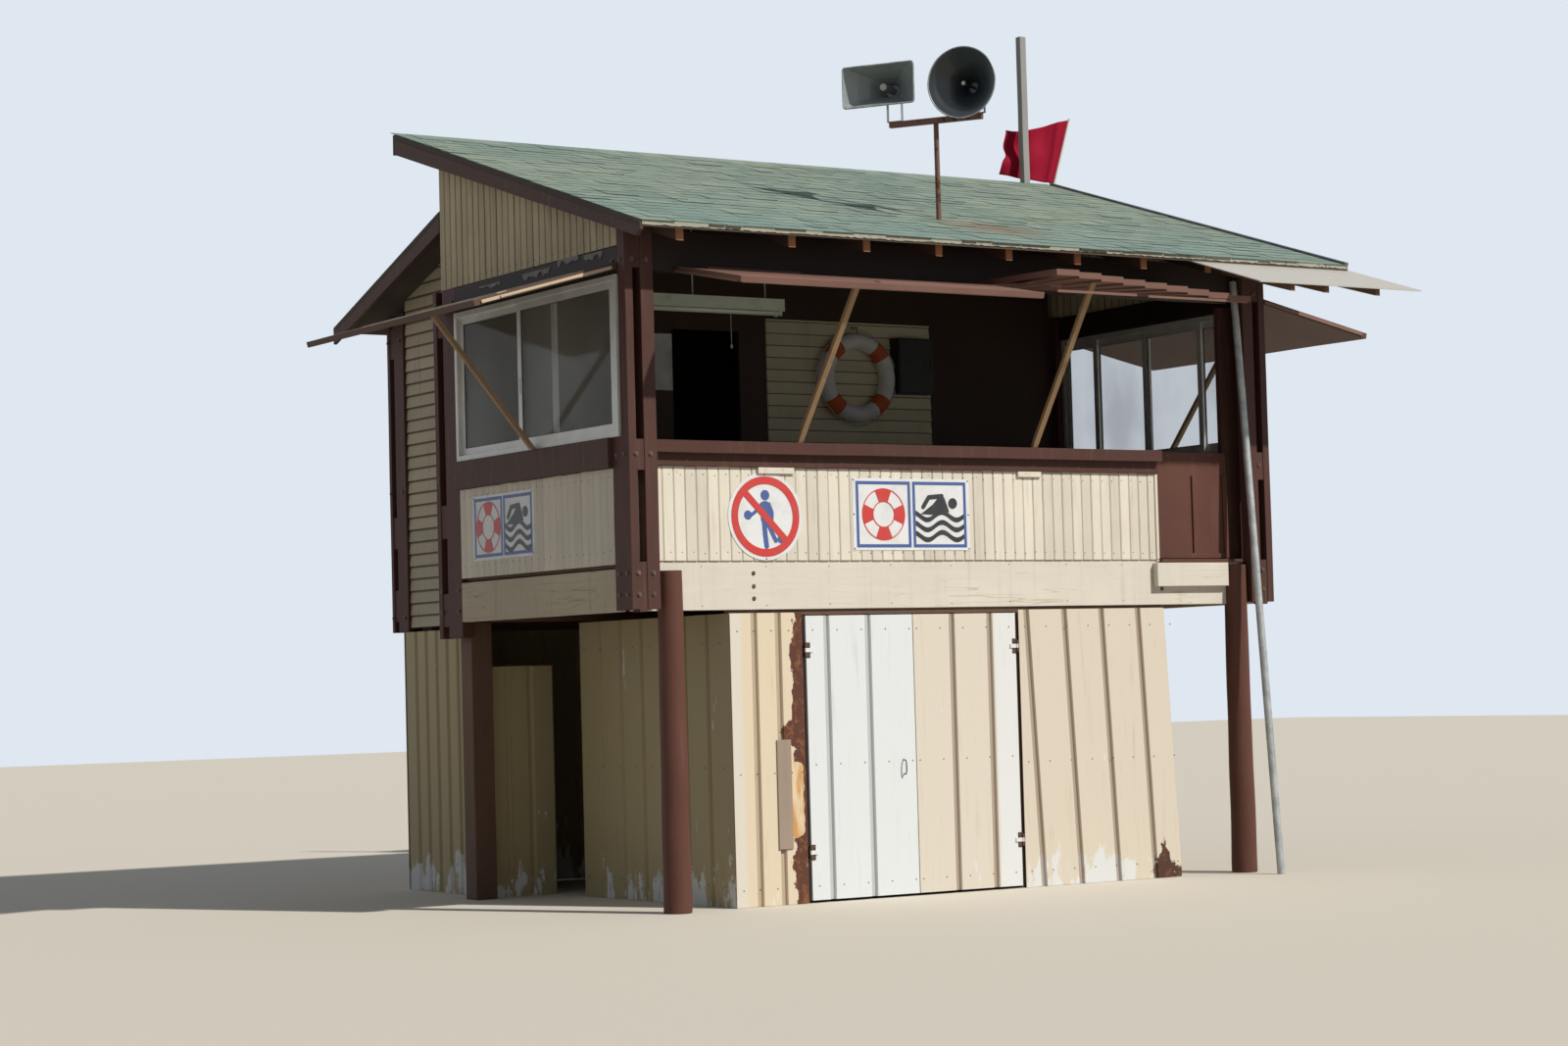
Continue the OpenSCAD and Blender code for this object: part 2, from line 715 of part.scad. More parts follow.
// A squared prop from its foot up to a flap. It is drawn too long in the flap's own frame
// and cut off under the flap and above its seat.
module prop(x_foot, foot, x_top, reach, tilt, seat) {
    from = [x_foot, foot[0], foot[1]];
    to = [x_top, -reach * cos(tilt), -reach * sin(tilt)];
    d = to - from;
    difference() {
        translate(from - d * 0.1) rotate([0, acos(d[2] / norm(d)), atan2(d[1], d[0])])
            translate([-16, -22, 0]) cube([32, 44, norm(d) * 1.2]);
        translate([x_top, 0, 0]) rotate([tilt, 0, 0])
            translate([-500, -2000, -hatch_t - seat_gap]) cube([1000, 2100, 600]);
        translate([x_foot - 500, -500, seat - 400 + seat_gap]) cube([1000, 1000, 400]);
        translate([x_foot - 500, foot[0] + 18, seat - 10]) cube([1000, 400, 300]);
    }
}

// Slope of the second hatch under its prop
function tilt2(x) = hatch2_tilt_left
    + (hatch2_tilt_right - hatch2_tilt_left) * floor(x * hatch2_boards / hatch2_w) / (hatch2_boards - 1);

module hatch_props() {
    counter_drop = counter_z - hinge_z;
    sill_drop = sill_z - hinge_z;
    color("burlywood") {
        at_hatch1() prop(990, [-30, counter_drop], 1020, hatch1_l * 0.93, hatch1_tilt, counter_drop);
        at_hatch2() prop(470, [-30, counter_drop - 10], 435, hatch2_l * 0.9, tilt2(435), counter_drop - 10);
        at_hatch_left() prop(side_hatch_w - 1230, [-32, sill_drop], side_hatch_w - 1300,
            side_hatch_l * 0.72, left_tilt, sill_drop);
        at_hatch_right() prop(1280, [-32, sill_drop], 1350, side_hatch_l * 0.72, right_tilt, sill_drop);
    }
}

// A flat sheet on three short bearers that widens the roof at the front right corner
module roof_sheet() {
    x0 = width - sheet_in;
    x1 = width + rake_right + 40;
    y1 = sheet_y1;
    y0 = y1 - roof_sheet_l;
    color("lightgrey") placed() {
        along_x(x0, x1, [[y0, roof_under(y0) - 10], [y1, roof_under(y1) - 10], [y1, roof_under(y1)], [y0, roof_under(y0)]]);
        for (x = [width - 740, width - 390, width + 140]) along_x(x, x + 45,
            [[y0 + 40, roof_under(y0 + 40) - 70], [y1, roof_under(y1) - 95], [y1, roof_under(y1) - 10], [y0 + 40, roof_under(y0 + 40) - 10]]);
    }
}

// Loudspeakers
bar_l = 770;
bar_h = 44;
driver_d = 112;
horn_l = 280;
flare_power = 1.9;
square_l = 320;
pole_z = roof_z(pole_y);
bar_z = pole_z + pole_h;

module at_speakers() {
    placed() translate([pole_x, pole_y, bar_z]) rotate([0, 0, speaker_turn]) children();
}

module speaker_pole() {
    color("saddlebrown") {
        placed() translate([pole_x, pole_y, pole_z]) {
            rotate([atan(front_pitch), 0, 0]) translate([0, 0, seat_gap]) cylinder(d = 120, h = 6);
            difference() {
                translate([0, 0, -20]) cylinder(d = pole_d, h = pole_h + 20);
                rotate([atan(front_pitch), 0, 0]) translate([-100, -100, -200 + 3]) cube([200, 200, 200]);
            }
        }
        at_speakers() translate([-bar_l / 2, -22, 0]) cube([bar_l, 44, bar_h]);
    }
}

// A swivel bracket: a strap on the bar with two arms up to the horn's driver
module swivel_bracket(driver_d, height) {
    arm = driver_d / 2 + 4;
    for (side = [-1, 1]) {
        translate([side * arm - 3, -16, 0]) cube([6, 32, height + 16]);
        translate([side * arm, 0, height]) rotate([0, -90 * side, 0]) cylinder(d = 14, h = 12);
    }
    translate([-arm - 3, -16, 0]) cube([2 * arm + 6, 32, 6]);
}

// Radius of a flared horn along its length
function flare(t, throat, mouth) = throat + (mouth - throat) * pow(t, flare_power);

module horn_round() {
    steps = 14;
    r = horn_d / 2;
    outside = [for (i = [0:steps]) [flare(i / steps, 45, r), horn_l * i / steps]];
    inside = [for (i = [steps:-1:0]) [flare(i / steps, 40, r - 5), horn_l * i / steps + (i < steps ? 3 : 0)]];
    height = 190;
    color("darkslategrey") at_speakers() translate([bar_l / 2 - 40, 0, bar_h]) {
        translate([0, 40, height]) rotate([90, 0, 0]) {
            cylinder(d = driver_d, h = 96);
            translate([0, 0, 92]) {
                rotate_extrude($fn = 48) polygon(concat([[0, 0]], outside, inside, [[0, 3]]));
                cylinder(d = 24, h = horn_l * 0.8);
                translate([0, 0, horn_l * 0.8]) cylinder(d1 = 46, d2 = 30, h = 14);
            }
        }
        swivel_bracket(driver_d, height);
    }
}

// Half the width or height of the square horn at one of its stations
function square_station(t, throat, mouth) = throat + (mouth - throat) * pow(t, 1.6);

// A rectangle with cut corners
module plate(w, h, c) {
    polygon([[c - w, -h], [w - c, -h], [w, c - h], [w, h - c], [w - c, h], [c - w, h], [-w, h - c], [-w, c - h]]);
}

module square_horn_shell(wall) {
    stations = 4;
    for (i = [0:stations - 1]) hull() for (k = [i, i + 1]) {
        t = k / stations;
        translate([0, -16 - (square_l - 4) * t - wall * 0.2, 0]) rotate([90, 0, 0]) linear_extrude(4)
            plate(square_station(t, 62, horn_w / 2) - wall, square_station(t, 50, horn_h / 2) - wall, 22);
    }
}

module horn_square() {
    height = 238;
    color("lightslategrey") at_speakers() translate([-bar_l / 2 + 45, 0, bar_h]) {
        translate([0, 0, height]) {
            difference() {
                square_horn_shell(0);
                square_horn_shell(6);
            }
            translate([0, 90, 0]) rotate([90, 0, 0]) cylinder(d = driver_d, h = 112, $fn = 24);
            rotate([90, 0, 0]) cylinder(d = 56, h = square_l * 0.72, $fn = 24);
        }
        swivel_bracket(driver_d, height);
    }
}

// Mast and flag
mast_x = width + 284;

module mast() {
    y0 = ridge_y + fascia_t + seat_gap;
    color("lightgrey") placed()
        block([mast_x - mast_w / 2, y0, rear_z(y0)], [mast_x + mast_w / 2, y0 + mast_w, mast_top]);
}

staff_r = 12;
staff_l = 830;
staff_lean = 18;
staff_foot = [width + 545, ridge_y + fascia_t + staff_r + seat_gap, roof_z(ridge_y) - 150];
flag_turn = 14;
flag_low = 188;
flag_high = 815;

module flag_staff() {
    color("white") placed() translate(staff_foot) rotate([0, staff_lean, 0])
        cylinder(r = staff_r, h = staff_l);
}

// The cloth lies in a plane through the staff, turned a little to pass behind the mast
module flag() {
    t = 12;
    hoist = -staff_r - 0.5;
    color("crimson") placed() translate(staff_foot) rotate([0, staff_lean, 0]) rotate([0, 0, -flag_turn])
        translate([0, t / 2, 0]) rotate([90, 0, 0]) linear_extrude(t)
        polygon([[hoist, flag_low], [hoist, flag_high], [-577, flag_high - 297], [-551, 240], [-530, flag_low - 79]]);
}

module leaning_pipe() {
    foot = [width - pipe_in, -pipe_out, 0];
    r = pipe_d / 2;
    top = [width - corner_w - r - seat_gap, clad_y - r - seat_gap, plate_z];
    d = top - foot;
    color("silver") placed() difference() {
        translate(foot - d * 0.02) rotate([0, acos(d[2] / norm(d)), atan2(d[1], d[0])])
            cylinder(r = r, h = norm(d) * 1.02, $fn = 24);
        block(foot - [200, 200, 200], foot + [200, 200, 0]);
    }
}

// What hangs in the front room
module lifebuoy() {
    color("orange") placed() translate([3754, partition_y - 61 - seat_gap, floor_z + 1645]) rotate([90, 0, 0])
        rotate_extrude($fn = 48) translate([315, 0]) circle(d = 122, $fn = 24);
}

module ceiling_lamp() {
    y = 1060;
    color("whitesmoke") placed() {
        block([760, y - 60, head_z - 120], [1990, y + 60, head_z - 30]);
        for (x = [rafter_x(1), rafter_x(2)]) translate([x, y, head_z - 31])
            cylinder(d = 10, h = roof_under(y - 5) - rafter_h - head_z + 31 - seat_gap, $fn = 16);
    }
}

module notice_board() {
    color("white") placed() block([1775, partition_y - 16, floor_z + 1500], [1980, partition_y, floor_z + 1950]);
}

module cabinet() {
    color("dimgray") placed() block([4140, partition_y - 130, floor_z + 1520], [4500, partition_y, floor_z + 1990]);
}

posts_front();
posts_inner();
store_frame();
store_panel_left();
store_door_left();
store_door_right();
store_panel_right();
store_walls();
floor_deck();
floor_joists();
edge_beams();
columns_front();
columns_side();
parapet_front();
counter_ledge();
front_brown_panel();
side_walls();
window_sills();
window_frames();
window_glass();
headers();
partition_wall();
rear_walls();
gables();
upper_wall();
roof_front();
roof_back();
rafters();
fascia_boards();
hatch_front_left();
hatch_front_right();
hatch_side_left();
hatch_side_right();
hatch_props();
roof_sheet();
speaker_pole();
horn_square();
horn_round();
mast();
flag_staff();
flag();
leaning_pipe();
lifebuoy();
ceiling_lamp();
notice_board();
cabinet();
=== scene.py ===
# %% [markdown]
# # A lifeguard tower on a beach
# The packed solids are the frame: every post, beam, wall and flap is already in its place.
# This lesson gives them their looks. Timber gets boards, rounded edges and worn paint, the store
# gets peeling steel sheet, the roof gets shingles, and small fittings are added where they belong.

# %% Load the frame
import math
import random

import bmesh
import bpy
from mathutils import Euler, Matrix, Vector, noise


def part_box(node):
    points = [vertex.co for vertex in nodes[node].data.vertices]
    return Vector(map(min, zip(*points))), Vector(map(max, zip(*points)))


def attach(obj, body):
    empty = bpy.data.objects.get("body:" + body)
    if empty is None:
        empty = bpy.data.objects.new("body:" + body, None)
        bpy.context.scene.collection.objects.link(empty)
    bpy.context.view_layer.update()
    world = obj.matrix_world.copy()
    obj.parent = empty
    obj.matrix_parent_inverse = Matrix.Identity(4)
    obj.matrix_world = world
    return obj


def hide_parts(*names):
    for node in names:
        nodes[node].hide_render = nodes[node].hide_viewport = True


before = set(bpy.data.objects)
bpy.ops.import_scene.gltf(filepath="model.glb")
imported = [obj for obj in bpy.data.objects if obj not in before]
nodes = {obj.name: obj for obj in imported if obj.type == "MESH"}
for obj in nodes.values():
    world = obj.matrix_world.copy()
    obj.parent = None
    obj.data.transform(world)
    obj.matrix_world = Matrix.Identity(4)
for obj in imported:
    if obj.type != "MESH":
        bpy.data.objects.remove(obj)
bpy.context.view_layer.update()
CABIN = "cabin"

# %% [markdown]
# ## Camera
# The photograph was taken from the front left, a little above the ground, with a long lens.
# Its place was worked out from the building's own right angles, so the camera is a place, three
# turns and a lens. It comes first, because everything after it is judged through it.

# %% Camera
PHOTO_SIZE = (1600, 1067)
EYE = Vector((-11.548, -19.308, 1.600))
YAW, PITCH, ROLL = math.radians(32.98), math.radians(2.89), -0.0276
FOCAL_PIXELS = 3233.5
SENSOR, FAR_CLIP = 36.0, 200


def aim(yaw, pitch, roll):
    """The camera's rotation from its heading, its height above the horizon and its lean."""
    forward = Vector((math.sin(yaw) * math.cos(pitch), math.cos(yaw) * math.cos(pitch), math.sin(pitch)))
    right = Vector((math.cos(yaw), -math.sin(yaw), 0))
    up = right.cross(forward)
    side = math.cos(roll) * right + math.sin(roll) * up
    top = -math.sin(roll) * right + math.cos(roll) * up
    return Matrix((side, top, -forward)).transposed()


camera_data = bpy.data.cameras.new("camera")
camera_data.sensor_width = SENSOR
camera_data.lens = FOCAL_PIXELS * SENSOR / PHOTO_SIZE[0]
camera_data.clip_end = FAR_CLIP
camera = bpy.data.objects.new("camera", camera_data)
camera.matrix_world = Matrix.Translation(EYE) @ aim(YAW, PITCH, ROLL).to_4x4()
bpy.context.scene.collection.objects.link(camera)
bpy.context.scene.camera = camera
print("lens:", round(camera_data.lens, 2), "mm")

# %% [markdown]
# ## Light and floor
# Soft daylight from the front right, as in the photograph, with an even pale sky around it.
# The floor and the sky are pale to the camera only through their own colour and through Light
# Path, so the tower isn't lit more strongly than a plain studio would light it.

# %% Sky
scene = bpy.context.scene
scene.view_settings.view_transform = "Standard"
SKY_LIGHT, SKY_STRENGTH, SKY_SEEN = (0.86, 0.92, 1.0, 1), 0.215, (0.74, 0.80, 0.88, 1)


def seen_rays(tree):
    """1 for rays that show a surface to the camera, straight, mirrored or through glass."""
    path = tree.nodes.new("ShaderNodeLightPath")
    total = path.outputs["Is Camera Ray"]
    for ray in ("Is Glossy Ray", "Is Transmission Ray"):
        step = tree.nodes.new("ShaderNodeMath")
        step.operation = "MAXIMUM"
        tree.links.new(path.outputs[ray], step.inputs[0])
        tree.links.new(total, step.inputs[1])
        total = step.outputs[0]
    return total


world = bpy.data.worlds.new("pale sky")
scene.world = world
world.use_nodes = True
sky = world.node_tree
sky.nodes.clear()
blend_sky = sky.nodes.new("ShaderNodeMixShader")
sky.links.new(seen_rays(sky), blend_sky.inputs["Fac"])
for index, (colour, strength) in enumerate(((SKY_LIGHT, SKY_STRENGTH), (SKY_SEEN, 1.0)), start=1):
    background = sky.nodes.new("ShaderNodeBackground")
    background.inputs["Color"].default_value = colour
    background.inputs["Strength"].default_value = strength
    sky.links.new(background.outputs[0], blend_sky.inputs[index])
sky.links.new(blend_sky.outputs[0], sky.nodes.new("ShaderNodeOutputWorld").inputs["Surface"])
print("sky strength on the object:", SKY_STRENGTH)

# %% Daylight
SUN_SIDE, SUN_HEIGHT, SUN_SOFTNESS = math.radians(26), math.radians(41), math.radians(1.2)
daylight = bpy.data.lights.new("daylight", "SUN")
daylight.energy, daylight.angle, daylight.color = 3.55, SUN_SOFTNESS, (1.0, 0.97, 0.90)
lamp = bpy.data.objects.new("daylight", daylight)
sun_place = Vector((math.sin(SUN_SIDE) * math.cos(SUN_HEIGHT), -math.cos(SUN_SIDE) * math.cos(SUN_HEIGHT),
                    math.sin(SUN_HEIGHT)))
lamp.rotation_euler = sun_place.to_track_quat("Z", "Y").to_euler()
scene.collection.objects.link(lamp)
print("sun from:", [round(v, 2) for v in sun_place])

# %% Floor
FLOOR_HALF, FLOOR_DROP = 60, 0.002
SAND_SEEN, SAND_BOUNCE = (0.66, 0.61, 0.53, 1), (0.40, 0.37, 0.325, 1)
floor_mesh = bpy.data.meshes.new("floor")
corners = [(x * FLOOR_HALF, y * FLOOR_HALF, 0) for x, y in ((-1, -1), (1, -1), (1, 1), (-1, 1))]
floor_mesh.from_pydata(corners, [], [(0, 1, 2, 3)])
floor = bpy.data.objects.new("floor", floor_mesh)
floor.location.z = -FLOOR_DROP
scene.collection.objects.link(floor)
floor_paint = bpy.data.materials.new("pale floor")
floor_paint.use_nodes = True
floor_tree = floor_paint.node_tree
floor_tone = floor_tree.nodes.new("ShaderNodeMix")
floor_tone.data_type = "RGBA"
floor_tone.inputs[6].default_value, floor_tone.inputs[7].default_value = SAND_BOUNCE, SAND_SEEN
floor_tree.links.new(seen_rays(floor_tree), floor_tone.inputs[0])
floor_shader = floor_tree.nodes["Principled BSDF"]
floor_tree.links.new(floor_tone.outputs[2], floor_shader.inputs["Base Color"])
floor_shader.inputs["Roughness"].default_value = 0.95
floor_mesh.materials.append(floor_paint)
print("floor:", 2 * FLOOR_HALF, "m wide")

# %% [markdown]
# ## Building shaders in a few words
# A material is a small graph. Two helpers keep each graph readable: one adds a node with its
# inputs filled in, and one opens a node group with named sockets. What several finishes share
# is a group, built once and placed with its own values in every material that needs it.

# %% Shader helpers
class Graph:
    """One node tree, with short words for the nodes that the finishes below use."""

    def __init__(self, tree):
        self.tree = tree

    def add(self, kind, inputs=(), **settings):
        node = self.tree.nodes.new(kind)
        for key, value in settings.items():
            setattr(node, key, value)
        for key, value in dict(inputs).items():
            if isinstance(value, bpy.types.NodeSocket):
                self.tree.links.new(value, node.inputs[key])
            else:
                node.inputs[key].default_value = value
        return node

    def noise(self, vector, scale, detail=4.0, rough=0.55, warp=0.0):
        node = self.add("ShaderNodeTexNoise", {"Vector": vector, "Scale": scale, "Detail": detail,
                                               "Roughness": rough, "Distortion": warp})
        return node.outputs[0]

    def stretch(self, vector, scale, turn=(0, 0, 0), shift=(0, 0, 0)):
        return self.add("ShaderNodeMapping", {"Vector": vector, "Scale": scale, "Rotation": turn,
                                              "Location": shift}).outputs[0]

    def math(self, operation, a, b=0.0):
        node = self.add("ShaderNodeMath", operation=operation)
        for index, value in enumerate((a, b)):
            if isinstance(value, bpy.types.NodeSocket):
                self.tree.links.new(value, node.inputs[index])
            else:
                node.inputs[index].default_value = value
        return node.outputs[0]

    def rise(self, value, low, high):
        """0 below low, 1 above high, smooth between them."""
        node = self.add("ShaderNodeMapRange", {"Value": value, "From Min": low, "From Max": high},
                        interpolation_type="SMOOTHSTEP")
        return node.outputs[0]

    def mix(self, share, a, b, how="MIX"):
        node = self.add("ShaderNodeMix", data_type="RGBA", blend_type=how)
        for index, value in ((0, share), (6, a), (7, b)):
            if isinstance(value, bpy.types.NodeSocket):
                self.tree.links.new(value, node.inputs[index])
            elif index == 0:
                node.inputs[0].default_value = value
            else:
                node.inputs[index].default_value = (*value[:3], 1)
        return node.outputs[2]

    def bump(self, height, distance, strength=1.0):
        return self.add("ShaderNodeBump", {"Height": height, "Distance": distance,
                                           "Strength": strength}).outputs[0]


def open_group(name, inputs, outputs):
    """A shader node group with named sockets. Inputs maps a name to (kind, default)."""
    tree = bpy.data.node_groups.new(name, "ShaderNodeTree")
    for label, (kind, default) in inputs.items():
        socket = tree.interface.new_socket(label, in_out="INPUT", socket_type="NodeSocket" + kind)
        if default is not None:
            socket.default_value = default
    for label, kind in outputs.items():
        tree.interface.new_socket(label, in_out="OUTPUT", socket_type="NodeSocket" + kind)
    graph = Graph(tree)
    return graph, tree.nodes.new("NodeGroupInput").outputs, tree.nodes.new("NodeGroupOutput").inputs


def finish_with(name, base, roughness, height=None, depth=0.001, metallic=0.0, graph=None, **fixed):
    """Ends a material in one Principled BSDF. Fixed values go straight on its sockets."""
    shader = graph.add("ShaderNodeBsdfPrincipled", fixed)
    for key, value in (("Base Color", base), ("Roughness", roughness), ("Metallic", metallic)):
        if isinstance(value, bpy.types.NodeSocket):
            graph.tree.links.new(value, shader.inputs[key])
        else:
            shader.inputs[key].default_value = (*value, 1) if key == "Base Color" else value
    if height is not None:
        graph.tree.links.new(graph.bump(height, depth), shader.inputs["Normal"])
    graph.tree.links.new(shader.outputs[0], graph.add("ShaderNodeOutputMaterial").inputs["Surface"])
    return shader


def open_material(name):
    """A new material with its graph and its object coordinates."""
    material = bpy.data.materials.new(name)
    material.use_nodes = True
    material.node_tree.nodes.clear()
    graph = Graph(material.node_tree)
    return material, graph, graph.add("ShaderNodeTexCoord").outputs["Object"]


print("shader helpers:", sorted(word for word in vars(Graph) if not word.startswith("_")))

# %% [markdown]
# ## Painted timber
# Nearly everything here is softwood under old paint. Salt and sun lift the paint off in flakes
# that follow the grain, dirt gathers in soft clouds and runs down in streaks. One group makes
# all of that from object coordinates stretched along the grain, and each timber finish only
# chooses its paint, its bare wood and how much paint is left.

# %% Painted timber group
def build_timber_group():
    g, ins, outs = open_group(
        "painted timber",
        {"Grain Vector": ("Vector", None), "Vector": ("Vector", None),
         "Paint": ("Color", (0.8, 0.75, 0.6, 1)), "Bare Wood": ("Color", (0.3, 0.22, 0.15, 1)),
         "Dirt": ("Color", (0.2, 0.15, 0.1, 1)), "Flaking": ("Float", 0.3), "Dirt Amount": ("Float", 0.3),
         "Clouds": ("Float", 0.15), "Cracks": ("Float", 0.0), "Tone": ("Float", 0.0)},
        {"Color": "Color", "Roughness": "Float", "Height": "Float"})
    fibres = g.noise(ins["Grain Vector"], 26, 6, 0.65)
    wide = g.noise(ins["Grain Vector"], 7, 3, 0.5)
    clouds = g.noise(ins["Vector"], 1.7, 4, 0.6)
    specks = g.noise(ins["Vector"], 34, 3, 0.6)
    wood = g.mix(g.rise(fibres, 0.35, 0.7), g.mix(0.45, ins["Bare Wood"], (0, 0, 0)), ins["Bare Wood"])
    # Paint lifts where the grain, the clouds and fine specks add up to more than the limit
    lift = g.math("ADD", g.math("MULTIPLY", wide, 0.55), g.math("MULTIPLY", specks, 0.45))
    lift = g.math("ADD", lift, g.math("MULTIPLY", g.math("SUBTRACT", clouds, 0.5), 0.35))
    limit = g.math("SUBTRACT", 0.86, g.math("MULTIPLY", ins["Flaking"], 0.42))
    flaked = g.rise(g.math("SUBTRACT", lift, limit), 0.0, 0.045)
    shade = g.math("MULTIPLY", g.math("SUBTRACT", clouds, 0.5), ins["Clouds"])
    shade = g.math("ADD", 1.0, g.math("MULTIPLY", shade, 2.0))
    shade = g.math("MULTIPLY", shade, g.math("ADD", 0.93, g.math("MULTIPLY", fibres, 0.14)))
    shade = g.math("MULTIPLY", shade, g.math("ADD", 1.0, g.math("MULTIPLY", ins["Tone"], 0.09)))
    toned = g.add("ShaderNodeVectorMath", {0: ins["Paint"]}, operation="SCALE")
    g.tree.links.new(shade, toned.inputs["Scale"])
    checks = g.noise(ins["Grain Vector"], 15, 2, 0.45)
    near = g.math("ABSOLUTE", g.math("SUBTRACT", checks, 0.5))
    cracked = g.rise(g.math("MULTIPLY", near, -1.0), -0.016, -0.004)
    cracked = g.math("MULTIPLY", cracked, g.rise(clouds, 0.46, 0.62))
    cracked = g.math("MULTIPLY", cracked, ins["Cracks"])
    painted = g.mix(flaked, g.mix(cracked, toned.outputs[0], ins["Dirt"]), wood)
    runs = g.noise(g.stretch(ins["Vector"], (11, 11, 0.8)), 1.6, 5, 0.6)
    grime = g.math("MULTIPLY", g.rise(runs, 0.52, 0.78), ins["Dirt Amount"])
    g.tree.links.new(g.mix(grime, painted, ins["Dirt"]), outs["Color"])
    rough = g.math("ADD", 0.62, g.math("MULTIPLY", flaked, 0.25))
    g.tree.links.new(rough, outs["Roughness"])
    height = g.math("SUBTRACT", g.math("MULTIPLY", fibres, 0.45), g.math("MULTIPLY", flaked, 0.6))
    g.tree.links.new(height, outs["Height"])
    return g.tree


timber_group = build_timber_group()
print("timber group nodes:", len(timber_group.nodes))

# %% [markdown]
# Each timber finish places the group and gives it its colours. Grain runs along one axis, so the
# coordinates are squeezed to a twentieth along it. A cut end can be bare, and where boards meet,
# painted shade darkens a narrow line on both sides of the joint. Aged paint is chalky, with little gloss.

# %% Timber finish
ALONG = {"x": (0.05, 1, 1), "y": (1, 0.05, 1), "z": (1, 1, 0.05)}
CHALKY = {"Specular IOR Level": 0.25}


def timber(name, paint, bare, dirt, flaking, grime, along="z", clouds=0.15, depth=0.0012, tip=None, cracks=0.0,
           joints=None):
    """A painted timber finish. Tip is (axis, below, colour) for bare ends, and joints is
    (axis, first, pitch, below, above) for the painted shade in the grooves and under the laps where boards meet."""
    material, g, place = open_material(name)
    tone = g.add("ShaderNodeAttribute", attribute_name="tone").outputs["Fac"]
    shifted = g.add("ShaderNodeVectorMath", {0: place, 1: tone}, operation="ADD").outputs[0]
    grain = g.stretch(shifted, ALONG[along])
    coat = g.add("ShaderNodeGroup", node_tree=timber_group)
    g.tree.links.new(grain, coat.inputs["Grain Vector"])
    g.tree.links.new(place, coat.inputs["Vector"])
    for label, colour in (("Paint", paint), ("Bare Wood", bare), ("Dirt", dirt)):
        coat.inputs[label].default_value = (*colour, 1)
    coat.inputs["Flaking"].default_value = flaking
    coat.inputs["Dirt Amount"].default_value = grime
    coat.inputs["Clouds"].default_value = clouds
    coat.inputs["Cracks"].default_value = cracks
    g.tree.links.new(tone, coat.inputs["Tone"])
    colour = coat.outputs["Color"]
    if tip:
        axis, below, end_colour = tip
        reach = g.add("ShaderNodeSeparateXYZ", {0: place}).outputs[axis]
        bare_end = g.rise(g.math("MULTIPLY", reach, -1.0), -below - 0.004, -below + 0.004)
        colour = g.mix(bare_end, colour, end_colour)
    if joints:
        axis, first, pitch, below, above = joints
        reach = g.add("ShaderNodeSeparateXYZ", {0: place}).outputs[axis]
        turns = g.math("DIVIDE", g.math("SUBTRACT", reach, first), pitch)
        share = g.math("SUBTRACT", turns, g.math("FLOOR", turns))
        under = g.rise(share, 1.0 - below / pitch, 1.0 - 0.35 * below / pitch)
        over = g.rise(g.math("MULTIPLY", share, -1.0), -above / pitch, -0.35 * above / pitch)
        # Painted shade: a narrow dark line where the grooves' and the laps' shadows fall
        joint_shade = g.math("MULTIPLY", g.math("MAXIMUM", under, over), 0.85)
        colour = g.mix(joint_shade, colour, tuple(0.35 * c for c in dirt))
    finish_with(name, colour, coat.outputs["Roughness"], coat.outputs["Height"], depth, graph=g, **CHALKY)
    return material


# %% [markdown]
# The tower has three families of timber: brown paint on posts, columns, ledge and flaps, cream
# paint on the boards, and stained or bare wood. The sides are dirtier than the front and lie in
# shade, so they get a duller cream of their own, partly painted shade. The board widths stand here because the painted
# shade follows the joints.

# %% Board widths
BOARD_PITCH, LAP = 0.095, 0.100
REAR_FOOT, ROOM_FLOOR = 2.135, 2.49
gable_low, gable_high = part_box("gables")
GABLE_COUNT = round((gable_high.y - gable_low.y) / BOARD_PITCH)
GABLE_FIRST, GABLE_PITCH = gable_low.y, (gable_high.y - gable_low.y) / GABLE_COUNT
print("gable boards:", GABLE_COUNT, "of", round(GABLE_PITCH, 4), "m")

# %% Brown, cream and bare timber
BROWN, BROWN_WOOD, DUST = (0.110, 0.043, 0.030), (0.24, 0.14, 0.09), (0.20, 0.13, 0.10)
CREAM, CREAM_WOOD, RUN = (0.73, 0.675, 0.575), (0.42, 0.30, 0.18), (0.30, 0.20, 0.11)
# SHADED is the cream of the sides and the rear bay: dirtier, and darkened as painted shade
SHADED, SHADED_RUN = (0.52, 0.455, 0.335), (0.20, 0.125, 0.06)
STAIN, STAIN_WOOD, STAIN_RUN = (0.60, 0.50, 0.33), (0.34, 0.21, 0.11), (0.20, 0.11, 0.05)
SOOT = (0.06, 0.04, 0.03)
# Painted shadow under each clapboard's lower edge, with a thin line above it
lap_shade = (2, REAR_FOOT, LAP, 0.022, 0.004)
brown_upright = timber("brown paint, upright", BROWN, BROWN_WOOD, DUST, 0.22, 0.25, "z", 0.25)
# The columns' brown is darker than the posts' to match their shaded sides: partly painted shade
brown_column_with_shade = timber("brown paint, columns", (0.074, 0.031, 0.024), BROWN_WOOD, DUST, 0.20, 0.22, "z", 0.25)
brown_level = timber("brown paint, level", BROWN, BROWN_WOOD, DUST, 0.30, 0.25, "x", 0.25)
ledge_paint = timber("brown paint, ledge", (0.074, 0.030, 0.022), BROWN_WOOD, DUST, 0.30, 0.25, "x", 0.25)
brown_deep = timber("brown paint, front to back", (0.072, 0.036, 0.027), BROWN_WOOD, DUST, 0.28, 0.25, "y", 0.25)
cream_upright = timber("cream paint, upright", CREAM, CREAM_WOOD, RUN, 0.16, 0.30, "z")
cream_level = timber("cream paint, level", (0.70, 0.65, 0.565), CREAM_WOOD, RUN, 0.14, 0.18, "x", depth=0.0025,
                     cracks=0.32)
